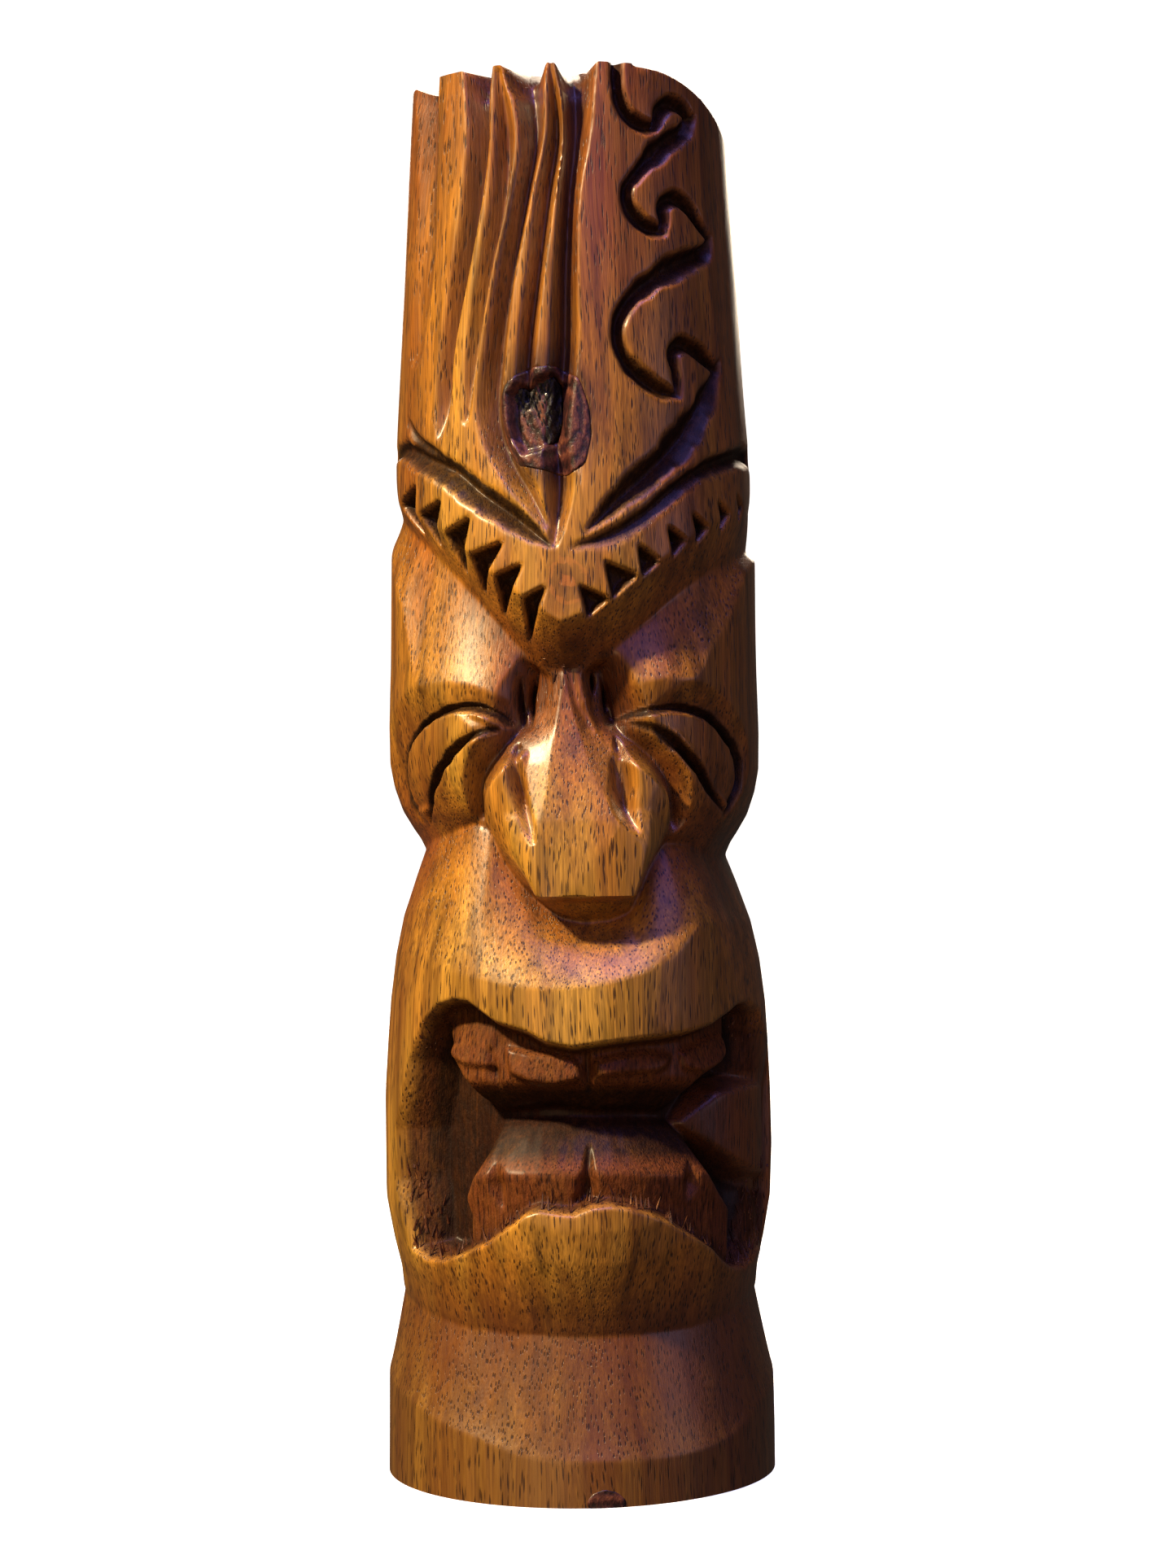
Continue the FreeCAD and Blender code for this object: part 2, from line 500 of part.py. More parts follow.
def tier_cutters():
    """The other valleys between the tiers, and the hollows beside the bridge of the nose."""
    cutters = [valley(LIP_VALLEY, "lip_depth", 0.3), valley(CHIN_VALLEY, "chin_depth", 0.2)]
    return cutters + [v_cut(with_depth(rows, "bridge_depth")) for rows in BRIDGE]


def nose_solid():
    """The nose: straight-sided sections from the bridge down to the flat underside."""
    ridge, wings, front = size("nose_tip_width") / 2, size("nose_width") / 2, size("nose_radius")
    wires = []
    for z, ridge_share, wing_share, front_back, wing_back in NOSE_SECTIONS:
        r, w = ridge * ridge_share, wings * wing_share
        shape = [(-w, NOSE_ROOT), (-w, front - wing_back), (-r, front - front_back), (r, front - front_back),
                 (w, front - wing_back), (w, NOSE_ROOT)]
        points = [Vector(x + NOSE_SHIFT, -y, level(z)) for x, y in shape]
        wires.append(Part.makePolygon([*points, points[0]]))
    return Part.makeLoft(wires, True, True)


def mouth_solid():
    """What the mouth's outline removes, down to the fronts of the teeth."""
    edges = []
    rows = [LIP_TOP, LIP_BOTTOM]
    outer = size("muzzle_radius") + 10
    for i, side in enumerate(rows):
        curve = Part.BSplineCurve()
        curve.interpolate([Vector(x, -outer, level(z)) for x, z in side])
        edges.append(curve.toShape())
        ends = [Vector(x, -outer, level(z)) for x, z in (side[-1], rows[(i + 1) % 2][0])]
        edges.append(Part.makeLine(*ends))
    prism = Part.Face(Part.Wire(edges)).extrude(Vector(0, outer - MOUTH_END, 0))
    teeth = Part.makeCylinder(size("muzzle_radius") - size("mouth_depth"), TOP)
    return prism.cut(teeth).Solids[0]


def mouth_cutters():
    """The slot between the jaws, the hollow corners and the gaps between the teeth."""
    below = size("mouth_depth")
    cutters = [v_cut([(*r[:-1], below + r[-1] * size("jaw_gap_depth")) for r in JAW_GAP], upright=True)]
    for rows in MOUTH_CORNERS:
        deeper = size("mouth_corner_depth")
        cutters.append(v_cut([(*r[:-1], below + r[-1] * deeper) for r in rows], upright=True))
    for rows in TOOTH_GAPS:
        cutters.append(v_cut([(*r[:-1], below + r[-1] * size("tooth_gap_depth")) for r in rows]))
    return cutters


def knot_ring(depth, bark, share):
    """The knot's outline at a depth along its own axis, with its bark or without, at a share of its size."""
    bearing, z = CROWN_KNOT_AT[0], level(CROWN_KNOT_AT[1])
    a = math.radians(bearing)
    across, inwards = Vector(math.cos(a), math.sin(a), 0), Vector(-math.sin(a), math.cos(a), 0)
    middle = on_log(bearing, z) + inwards * depth
    points = []
    for sx, sz, sb in KNOT_CORNERS:
        x, h = sx * size("knot_width") / 2, sz * size("knot_length") / 2
        long = math.hypot(x, h)
        grow = (1 + sb * size("bark_thickness") / long if bark else 1.0) * share
        points.append(middle + across * (x * grow) + Vector(0, 0, h * grow))
    return Part.makePolygon([*points, points[0]])


def knot_plug(bark):
    """The tapering plug that the knot fills, with its bark or without. It starts outside the log."""
    outside, reach, end = 6.0, size("knot_reach"), size("knot_taper")
    slope = (1 - end) / reach
    start = 1 + slope * outside
    rings = [knot_ring(-outside, bark, start), knot_ring(reach, bark, end)]
    return Part.makeLoft(rings, True, True)


def hold(name, shape):
    """A plain shape as an object of the document."""
    thing = doc.addObject("Part::Feature", name)
    thing.Shape = shape
    return thing


def merge(name, shapes):
    """Overlapping solids as one object."""
    return hold(name, shapes[0].multiFuse(shapes[1:]) if len(shapes) > 1 else shapes[0])


def combine(kind, name, base, tool):
    """A boolean of two objects of the document."""
    thing = doc.addObject(kind, name)
    thing.Base, thing.Tool = base, tool
    thing.Refine = False
    doc.recompute()
    return thing


def make_shoulder():
    """What the round shoulder removes at the top, right side: a block without a cylinder."""
    block = doc.addObject("Part::Box", "shoulder_block")
    roll = doc.addObject("Part::Cylinder", "shoulder_roll")
    top = " + ".join(cell(a) for a in TIER_ALIASES)
    block.setExpression("Length", f"{cell('top_radius')} + 10")
    block.setExpression("Width", f"4 * {cell('top_radius')}")
    block.setExpression("Height", f"{cell('shoulder_radius')} + 5")
    block.setExpression("Placement.Base.x", cell("shoulder_start"))
    block.setExpression("Placement.Base.y", f"-2 * {cell('top_radius')}")
    block.setExpression("Placement.Base.z", f"{top} - {cell('shoulder_radius')}")
    roll.setExpression("Radius", cell("shoulder_radius"))
    roll.setExpression("Height", f"4 * {cell('top_radius')}")
    roll.Placement = Placement(Vector(0, 0, 0), Rotation(Vector(1, 0, 0), 90))
    roll.setExpression("Placement.Base.x", cell("shoulder_start"))
    roll.setExpression("Placement.Base.y", f"2 * {cell('top_radius')}")
    roll.setExpression("Placement.Base.z", f"{top} - {cell('shoulder_radius')}")
    doc.recompute()
    return combine("Part::Cut", "shoulder_waste", block, roll)


def make_foot_knot_core():
    """The round core that the small knot fills, from outside the foot inwards."""
    core = doc.addObject("Part::Cylinder", "foot_knot_core")
    core.setExpression("Radius", cell("foot_knot_radius"))
    core.setExpression("Height", f"{cell('foot_knot_reach')} + 5")
    core.Placement = Placement(Vector(0, 0, 0), Rotation(Vector(1, 0, 0), 90))
    core.setExpression("Placement.Base.x", f"{cell('foot_radius')} * sin({FOOT_KNOT_AT[0]} deg)")
    core.setExpression("Placement.Base.y", f"-({cell('foot_radius')} - {cell('foot_knot_reach')})")
    doc.recompute()
    return core


def make_carving():
    """The whole log with every cut, before the knots are told apart from it."""
    shape = make_blank()
    for number, cutter in enumerate(brow_cutters() + tier_cutters()):
        waste = hold(f"valley_{number}", cutter)
        shape = combine("Part::Cut", f"valley_cut_{number}", shape, waste)
    shape = combine("Part::Fuse", "with_nose", shape, hold("nose", nose_solid()))
    shape = combine("Part::Cut", "shoulder_cut", shape, make_shoulder())
    groups = {
        "flute_waste": [flute(rows) for rows in FLUTES],
        "scroll_waste": [stroke(rows) for rows in STROKES],
        "leaf_waste": [v_cut(with_depth(rows, "leaf_depth")) for rows in LEAVES],
        "chip_waste": [chip(corners) for corners in CHIPS],
        "eye_waste": [v_cut(with_depth(rows, "eye_depth")) for rows in EYES],
        "nostril_waste": [v_cut(with_depth(rows, "nostril_depth")) for rows in NOSTRILS],
        "mouth_waste": [mouth_solid()],
        "mouth_inner_waste": mouth_cutters(),
    }
    for name, cutters in groups.items():
        shape = combine("Part::Cut", name.replace("waste", "cut"), shape, merge(name, cutters))
    return shape


def make_parts(carving):
    """The pieces: the log, the dead knot, its bark and the small knot at the foot."""
    plug, ring = hold("knot_plug", knot_plug(False)), hold("bark_plug", knot_plug(True))
    core = make_foot_knot_core()
    bark_all = combine("Part::Common", "bark_and_knot", carving, ring)
    bark = combine("Part::Cut", "crown_knot_bark", bark_all, plug)
    knot_all = combine("Part::Common", "knot_in_crown", carving, plug)
    knot = combine("Part::Cut", "crown_knot", knot_all, hold("knot_dish", knot_dish()))
    foot_knot = combine("Part::Common", "base_knot", carving, core)
    socketed = combine("Part::Cut", "log_with_socket", carving, ring)
    log = combine("Part::Cut", "carved_log", socketed, core)
    return {"carved_log": log, "crown_knot": knot, "crown_knot_bark": bark, "base_knot": foot_knot}


def knot_dish():
    """What the decayed face of the knot has lost: the crown's skin down to the sunken face."""
    bearing, z = CROWN_KNOT_AT[0], level(CROWN_KNOT_AT[1])
    span = size("knot_length") + size("knot_width")
    block = Part.makeBox(span, 20.0, span, Vector(-span / 2, -20.0, -span / 2))
    block.Placement = Placement(on_log(bearing, z, size("knot_sink")), Rotation(Vector(0, 0, 1), bearing))
    return block


def check_document():
    """Stop if any object of the document failed to compute."""
    for thing in doc.Objects:
        bad = [s for s in thing.State if s in ("Invalid", "Error")]
        if bad:
            raise RuntimeError(f"{thing.Name}: {bad}")


def export(parts):
    """Write each piece as its own STEP file."""
    os.makedirs(OUT, exist_ok=True)
    for name, thing in parts.items():
        shape = thing.Shape
        if len(shape.Solids) != 1 or not shape.isValid():
            raise RuntimeError(f"{name}: {len(shape.Solids)} solids, valid {shape.isValid()}")
        shape.Solids[0].exportStep(f"{OUT}/{name}.step")
        print(f"{name}: volume {shape.Volume:.1f} mm3, faces {len(shape.Faces)}, box {shape.BoundBox}")


pieces = make_parts(make_carving())
doc.recompute()
check_document()
export(pieces)
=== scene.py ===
"""Carved tiki figure: an oiled hardwood log, the dead knot and bark in its crown, and a knot at its foot.

The log's skin is a net of bearings and heights round its axis. Every tier, plane and tool cut sets how far
from the axis a point of the net lies. Bearings are in degrees from the front, positive towards +X. Lengths
are in millimetres, and a mesh is made in metres. Stage, lamps and camera are placed in metres.
"""

import math
from functools import partial

import bmesh
import bpy
import numpy as np
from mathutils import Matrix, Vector


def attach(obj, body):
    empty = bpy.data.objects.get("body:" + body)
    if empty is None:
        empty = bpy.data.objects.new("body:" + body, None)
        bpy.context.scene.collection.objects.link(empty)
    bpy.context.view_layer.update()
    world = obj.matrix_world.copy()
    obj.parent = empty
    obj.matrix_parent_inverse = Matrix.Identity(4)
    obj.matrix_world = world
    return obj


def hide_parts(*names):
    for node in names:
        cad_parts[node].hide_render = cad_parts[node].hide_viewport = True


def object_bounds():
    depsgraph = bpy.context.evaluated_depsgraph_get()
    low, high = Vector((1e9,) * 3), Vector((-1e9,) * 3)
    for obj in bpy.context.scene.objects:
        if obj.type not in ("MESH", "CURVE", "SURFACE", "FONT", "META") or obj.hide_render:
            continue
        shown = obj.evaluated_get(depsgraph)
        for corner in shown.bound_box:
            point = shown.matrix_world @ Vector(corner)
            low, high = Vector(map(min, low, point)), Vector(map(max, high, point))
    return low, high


MM = 0.001

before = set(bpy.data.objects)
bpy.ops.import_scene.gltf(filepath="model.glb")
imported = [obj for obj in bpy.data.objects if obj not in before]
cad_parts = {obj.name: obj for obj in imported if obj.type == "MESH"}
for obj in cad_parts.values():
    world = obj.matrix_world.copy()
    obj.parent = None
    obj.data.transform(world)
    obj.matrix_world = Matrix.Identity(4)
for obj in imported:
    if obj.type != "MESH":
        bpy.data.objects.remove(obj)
cad_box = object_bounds()
TOP = cad_box[1][2] / MM
FOOT_RADIUS = cad_box[1][0] / MM

# Radii on which widths round the log are measured: at the face, along the chips and round the crown's knot.
FACE_RADIUS = 41.0
CHIP_RADIUS = 39.5
KNOT_RADIUS = 39.3
LOG_RADIUS = 43.0
# From where the mouth's outline is seen: distance from the axis and height.
VIEW_DISTANCE = 680.0
VIEW_HEIGHT = 151.0
FAR_OUT = 999.0


# ---------------------------------------------------------------- the net and its lines


def net_bearings():
    """Bearings once round the log: close together where it is carved, wider apart behind."""
    front = np.arange(-104.0, 104.0, 0.5)
    behind = np.arange(104.0, 256.0, 1.6)
    bearing = np.concatenate([front, behind])
    return np.where(bearing > 180.0, bearing - 360.0, bearing)


def net_heights():
    """Heights from the floor to the top, closest at the rim and round the face."""
    return np.concatenate([np.arange(0.0, 300.0, 0.42), np.linspace(300.0, TOP, 16)])


BEARINGS = net_bearings()
HEIGHTS = net_heights()
BEARING, HEIGHT = np.meshgrid(BEARINGS, HEIGHTS)
ANGLE = np.radians(BEARING)


def smooth(x):
    """0 below 0, 1 above 1, and a soft step between them."""
    x = np.clip(x, 0.0, 1.0)
    return x * x * (3.0 - 2.0 * x)


def along(points, soft=1.5):
    """A line round the log, from (bearing, value) points, with its corners softened over so many degrees."""
    b, v = np.array(sorted(points)).T
    fine = np.arange(-180.0, 180.0, 0.5)
    line = np.interp(fine, b, v, period=360.0)
    if soft:
        reach = np.arange(-12, 13) * 0.5
        weight = np.exp(-0.5 * (reach / soft) ** 2)
        padded = np.concatenate([line[-12:], line, line[:12]])
        line = np.convolve(padded, weight / weight.sum(), mode="valid")
    return np.interp(BEARINGS, fine, line, period=360.0)


def table(rows):
    """A profile from (place, value) rows, as a function."""
    x, y = np.array(rows, float).T
    return lambda t: np.interp(t, x, y)


# Lines between the tiers: bearing, height.
FOOT_EDGE = along([(-180, 27), (-130, 26), (-90, 22.5), (-59, 19.1), (-48, 16.5), (-31, 13.7), (-17, 10.7),
                   (-4, 9.7), (13, 9.7), (31.5, 10), (49, 11.3), (67, 17.2), (90, 21.5), (130, 26)], 2.5)
NECK = along([(-180, 39), (-90, 40.5), (-65, 38.5), (-40, 36), (0, 35), (40, 35.5), (65, 38), (90, 40)], 3)
NOTCH = along([(-180, 135), (-100, 136), (-76, 138.7), (-52.6, 141), (-38, 143.2), (-31, 142), (-27, 136),
               (-20, 130.4), (-12.5, 126.2), (-5.3, 123.4), (2.5, 122.5), (12.2, 122.8), (19.8, 124.4),
               (23, 128), (27.3, 133.6), (34, 139), (45, 138.4), (58.5, 135.8), (75, 135.4),
               (100, 135.5)], 1.0)
CREASE = along([(-180, 204), (-120, 207), (-98, 211.5), (-84, 210.5), (-69.5, 206.2), (-58, 201.9),
                (-46, 196.2), (-36, 191.0), (-29, 186.7), (-23.5, 183.3), (-18, 179.8), (-11.5, 176.6),
                (-3.5, 175.6), (4.5, 177.3), (11.5, 179.1), (17, 181.5), (22.5, 184.1), (28.3, 186.8),
                (35, 190.2), (41.5, 193), (48.3, 195.4), (56.7, 198), (66.3, 200.1), (80, 202.5),
                (110, 203.5), (140, 204)], 0.7)
CROWN = along([(-180, 209), (-120, 212), (-98, 215.5), (-86, 215.1), (-71, 213.3), (-55, 210.2),
               (-41, 205.5), (-32, 200.5), (-23, 195.8), (-14, 190.9), (-8, 187.8), (-3, 185.8), (3, 187.6),
               (11, 191), (20, 195.6), (27, 198.6), (37, 203.2), (46, 206.5), (56, 209.5), (68, 211.5),
               (80, 212), (110, 211), (140, 209)], 0.7)
SLOPE_END = along([(-180, 203), (-110, 206), (-95, 204.5), (-86, 201.3), (-75, 195.5), (-68, 190.5),
                   (-63, 182.4), (-58, 174.9), (-51.3, 173.8), (-41.1, 173), (-30.5, 171.8), (-22.1, 169.9),
                   (-14.7, 167.4), (0, 164), (12, 168.8), (17, 171.6), (23, 173.3), (31.2, 174.1),
                   (39.7, 174.2), (43, 175.6), (46, 179), (53, 183.6), (58, 187.1), (63, 191.8), (70, 197),
                   (80, 200), (110, 202.5)], 0.6)
MUZZLE_TOP = along([(-180, 119), (-90, 117), (-60, 114), (-43, 112.5), (-32, 111), (-22, 109.4), (-8, 108.5),
                    (6, 109.1), (20, 111.7), (30, 115.7), (38, 121), (55, 121.5), (90, 119)], 1.5)

# How far from the axis the valleys lie: bearing, radius.
NECK_R = along([(-180, 39.2), (-90, 39.3), (-65, 38.4), (-35, 36.6), (0, 36.2), (35, 36.6), (65, 38.2),
                (90, 39.2)], 4)
NOTCH_R = along([(-180, 34), (-90, 33.2), (-60, 33.4), (-40, 34.2), (-20, 33.6), (0, 33.0), (20, 33.2),
                 (40, 33.6), (60, 33.2), (90, 33.2)], 4)
CREASE_R = along([(-180, 38.4), (-100, 38.2), (-80, 37.4), (-68, 35.8), (-55, 34.2), (-40, 33.2),
                  (-20, 32.6), (-8, 32.2), (8, 33.4), (20, 34.4), (40, 35.6), (55, 36.8), (66, 37.8),
                  (80, 38.2), (100, 38.4)], 3)
SLOPE_R = along([(-180, 40.6), (-64, 40.9), (-56, 40.6), (-48, 39.9), (-40, 39.0), (-30, 37.6), (-22, 36.4),
                 (-12, 34.8), (0, 33.6), (12, 35.2), (22, 38.0), (30, 39.6), (38, 40.6), (44, 40.9)], 2)

MUZZLE_SIDE = table([(0.00, 39.2), (0.05, 39.7), (0.12, 41.2), (0.21, 42.7), (0.33, 43.1), (0.47, 42.8),
                     (0.57, 42.3), (0.66, 41.7), (0.76, 40.4), (0.85, 38.5), (0.94, 35.4), (1.00, 33.2)])
MUZZLE_FRONT = table([(0.00, 36.2), (0.04, 37.2), (0.10, 39.0), (0.18, 41.2), (0.26, 42.5), (0.38, 43.0),
                      (0.55, 43.1), (0.72, 43.1), (1.00, 43.0)])
CHEEK_SIDE = table([(0, 33.2), (3, 34.6), (5, 36.0), (9, 38.4), (14, 40.1), (19, 41.0), (27, 41.1),
                    (40, 40.7), (60, 40.5), (90, 40.2)])
CHEEK_FRONT = table([(0, 33.4), (1.5, 35.4), (4, 37.6), (8, 39.4), (13, 40.4), (20, 41.0), (40, 40.7),
                     (90, 40.4)])


def crown_radius(z):
    """The crown's own tapering surface."""
    return 39.9 + (z - 215.0) * (34.5 - 39.9) / 88.0


def tiers():
    """Distance from the axis of the bare figure: foot, muzzle, face, crown and the valleys between them."""
    side = smooth((np.abs(BEARING) - 25.0) / 45.0)
    foot = 43.0 - 0.5 * HEIGHT / 30.0
    slope = np.clip((HEIGHT - FOOT_EDGE) / (NECK - FOOT_EDGE), 0, 1)
    foot = foot - (42.7 - NECK_R) * slope**0.85

    u = np.clip((HEIGHT - NECK) / (NOTCH - NECK), 0, 1)
    facet = np.clip((HEIGHT - MUZZLE_TOP) / (NOTCH - MUZZLE_TOP), 0, 1)
    front = np.minimum(MUZZLE_FRONT(u), 43.0 - (43.0 - NOTCH_R) * facet**1.1)
    muzzle = (1 - side) * front + side * (MUZZLE_SIDE(u) + (NOTCH_R - 33.1) * smooth((u - 0.85) / 0.15))
    muzzle = muzzle + (NECK_R - 36.2 - 3.0 * side) * (1 - smooth(u / 0.15))

    d = HEIGHT - NOTCH
    face = (1 - side) * CHEEK_FRONT(d) + side * CHEEK_SIDE(d)
    s = np.clip((CREASE - HEIGHT) / (CREASE - SLOPE_END), 0, 1)
    brow = CREASE_R + (SLOPE_R - CREASE_R) * s**1.15
    face = np.minimum(face, SLOPE_R + 0.35 * np.maximum(SLOPE_END - HEIGHT, 0))
    face = np.where(HEIGHT > SLOPE_END, np.minimum(brow, face), face)
    beside = smooth((np.abs(BEARING + 1.0) - 12.0) / 12.0)
    between_eyes = 33.6 + 0.28 * np.maximum(166.0 - HEIGHT, 0) + 9.0 * beside
    face = np.where(HEIGHT < SLOPE_END + 3.0, np.minimum(face, between_eyes), face)
    waist = 1.2 * smooth((np.abs(BEARING) - 62) / 25) * np.exp(-np.maximum(HEIGHT - CROWN, 0) / 4.5)
    crown = crown_radius(HEIGHT) - waist
    rise = np.clip((HEIGHT - CREASE) / (CROWN - CREASE), 0, 1)
    bevel = CREASE_R + (crown - CREASE_R) * rise

    r = np.where(HEIGHT < NECK, foot, muzzle)
    r = np.where(HEIGHT > NOTCH, face, r)
    r = np.where(HEIGHT > CREASE, bevel, r)
    return np.where(HEIGHT > CROWN, crown, r)


# ---------------------------------------------------------------- tool cuts


def walk(rows, step=0.35):
    """A route with rows close together: a smooth curve through rows that begin with bearing and height."""
    rows = np.array(rows, float)
    mm = np.stack([np.radians(rows[:, 0]) * 40.0, rows[:, 1]], 1)
    length = np.concatenate([[0], np.cumsum(np.hypot(*np.diff(mm, axis=0).T))])
    t = np.arange(0.0, length[-1], step)
    slope = np.gradient(rows, length, axis=0)
    i = np.clip(np.searchsorted(length, t, side="right") - 1, 0, len(rows) - 2)
    h = (length[i + 1] - length[i])[:, None]
    k = ((t - length[i])[:, None]) / h
    a, b, da, db = rows[i], rows[i + 1], slope[i] * h, slope[i + 1] * h
    leave = (2 * k**3 - 3 * k**2 + 1) * a + (k**3 - 2 * k**2 + k) * da
    return leave + (3 * k**2 - 2 * k**3) * b + (k**3 - k**2) * db


def v_groove(depth, rows, edge=0.0, seed=0, power=1.0):
    """Deepens the net along a route of (bearing, height, left, right, depth), its sides as one walks it.

    The floor follows the route and the walls rise to the two rims. edge makes the rims wander by so much, as
    a hand tool does. A higher power gives rounder walls.
    """
    path = walk(rows)
    rng = np.random.default_rng(seed)
    wander = np.convolve(rng.standard_normal(len(path) + 24), np.hanning(13), mode="same")[: len(path)] * edge
    way = np.gradient(path[:, :2] * [math.radians(1) * 40.0, 1.0], axis=0)
    way = way / np.maximum(np.hypot(*way.T), 1e-6)[:, None]
    for (b, z, left, right, deep), (wb, wz), off in zip(path, way, wander):
        left, right = max(left, 0.15) * (1 + off), max(right, 0.15) * (1 + off)
        reach = max(left, right)
        rows_in = np.nonzero(np.abs(HEIGHTS - z) < reach)[0]
        cols_in = np.nonzero(np.abs(BEARINGS - b) * math.radians(36.0) < reach)[0]
        if not len(rows_in) or not len(cols_in):
            continue
        window = np.ix_(rows_in, cols_in)
        dx = np.radians(BEARING[window] - b) * (crown_radius(z) if z > 200 else FACE_RADIUS)
        dz = HEIGHT[window] - z
        width = np.where(wb * dz - wz * dx > 0, left, right)
        cut = deep * (1 - (np.hypot(dx, dz) / width) ** power)
        depth[window] = np.maximum(depth[window], cut)


def polygon_depth(points, x, z):
    """Distance inside a polygon, in its own units; negative outside it."""
    points = np.array(points, float)
    best = np.full(x.shape, 1e9)
    inside = np.zeros(x.shape, bool)
    for (x0, z0), (x1, z1) in zip(points, np.roll(points, -1, axis=0)):
        ex, ez = x1 - x0, z1 - z0
        k = np.clip(((x - x0) * ex + (z - z0) * ez) / max(ex * ex + ez * ez, 1e-9), 0, 1)
        best = np.minimum(best, np.hypot(x - x0 - k * ex, z - z0 - k * ez))
        crosses = ((z0 > z) != (z1 > z)) & (x < (x1 - x0) * (z - z0) / (z1 - z0 if z1 != z0 else 1e-9) + x0)
        inside ^= crosses
    return np.where(inside, best, -best)


def inside_outline(outline, radius, bearing=BEARING, height=HEIGHT):
    """Distance inside an outline of (bearing, height) drawn on a cylinder; negative outside it."""
    points = [(math.radians(b) * radius, z) for b, z in outline]
    return polygon_depth(points, np.radians(bearing) * radius, height)


def scatter_noise(scale_x, scale_z, seed):
    """Soft random waves over the net, about so many millimetres across and high, between -1 and 1."""
    rng = np.random.default_rng(seed)
    total = np.zeros_like(BEARING)
    s = ANGLE * FACE_RADIUS
    waves = 26
    for _ in range(waves):
        kx, kz = rng.normal(0, 2.2 / scale_x), rng.normal(0, 2.2 / scale_z)
        kx = round(kx * FACE_RADIUS) / FACE_RADIUS
        total += np.sin(kx * s + kz * HEIGHT + rng.uniform(0, 2 * math.pi))
    return total / waves**0.5 / 1.2


# Flutes of the crown: bearing, height, left, right, depth.
FLUTES = [
    [(-62.8, 307, 7.9, 5.5, 2.6), (-59, 293, 6.5, 3.9, 2.3), (-57.9, 280.6, 5.6, 3.4, 1.9),
     (-57, 263, 5.7, 3.0, 1.3), (-62, 246, 4.0, 3.9, 0.8)],
    [(-32.8, 309, 5.2, 3.6, 5.0), (-32.3, 299, 3.9, 2.2, 4.2), (-31.5, 290.5, 3.9, 1.9, 3.8),
     (-34.1, 278.4, 3.3, 2.5, 3.4), (-38.3, 261.8, 3.1, 2.1, 3.2), (-43.2, 244.7, 2.7, 1.8, 2.6),
     (-45.6, 229.9, 1.8, 2.0, 1.6), (-46, 226.5, 1.0, 1.0, 0.6)],
    [(-25.2, 304, 0.8, 0.8, 0.8), (-22.6, 290, 2.3, 2.3, 2.6), (-22.9, 277.7, 3.2, 1.2, 2.8),
     (-28, 261.2, 2.6, 1.1, 2.6), (-32.4, 244, 2.3, 1.1, 2.2), (-34.9, 229.3, 0.9, 0.8, 0.9)],
    [(-15.3, 309, 6.5, 5.3, 5.6), (-13.8, 300, 3.8, 3.5, 4.4), (-11.6, 290, 3.2, 2.0, 3.6),
     (-15, 277.3, 2.7, 1.7, 3.3), (-20, 260.8, 3.2, 1.5, 3.3), (-24.3, 243.6, 3.4, 2.3, 3.5),
     (-24.7, 228.8, 4.0, 2.3, 3.2), (-22.5, 223.5, 3.5, 2.8, 3.2), (-19.5, 219.6, 3.3, 2.6, 3.0),
     (-13.2, 213.1, 2.8, 2.2, 2.6), (-7.3, 206.2, 1.5, 0.8, 1.2)],
    [(-5.7, 305, 0.5, 0.5, 0.6), (-3.8, 289.3, 2.0, 1.5, 2.6), (-6.7, 277.1, 2.7, 1.5, 2.9),
     (-10.3, 260.4, 2.6, 1.4, 3.0), (-14.1, 243.2, 2.0, 2.1, 3.2), (-14.7, 233, 1.9, 1.5, 3.0)],
    [(3.2, 309, 5.6, 4.9, 5.6), (3.3, 300, 3.2, 4.0, 4.6), (3.4, 290, 3.4, 2.9, 3.8),
     (0.9, 277, 2.6, 1.9, 3.6), (-0.9, 260.3, 2.8, 2.4, 3.8), (-1.8, 243, 3.1, 2.9, 4.2),
     (-4.5, 222.6, 2.6, 2.6, 4.0), (-3.7, 214.3, 3.2, 3.2, 3.4), (-4.4, 206.1, 2.4, 1.8, 2.2),
     (-5, 202.0, 0.8, 0.7, 0.8)],
]

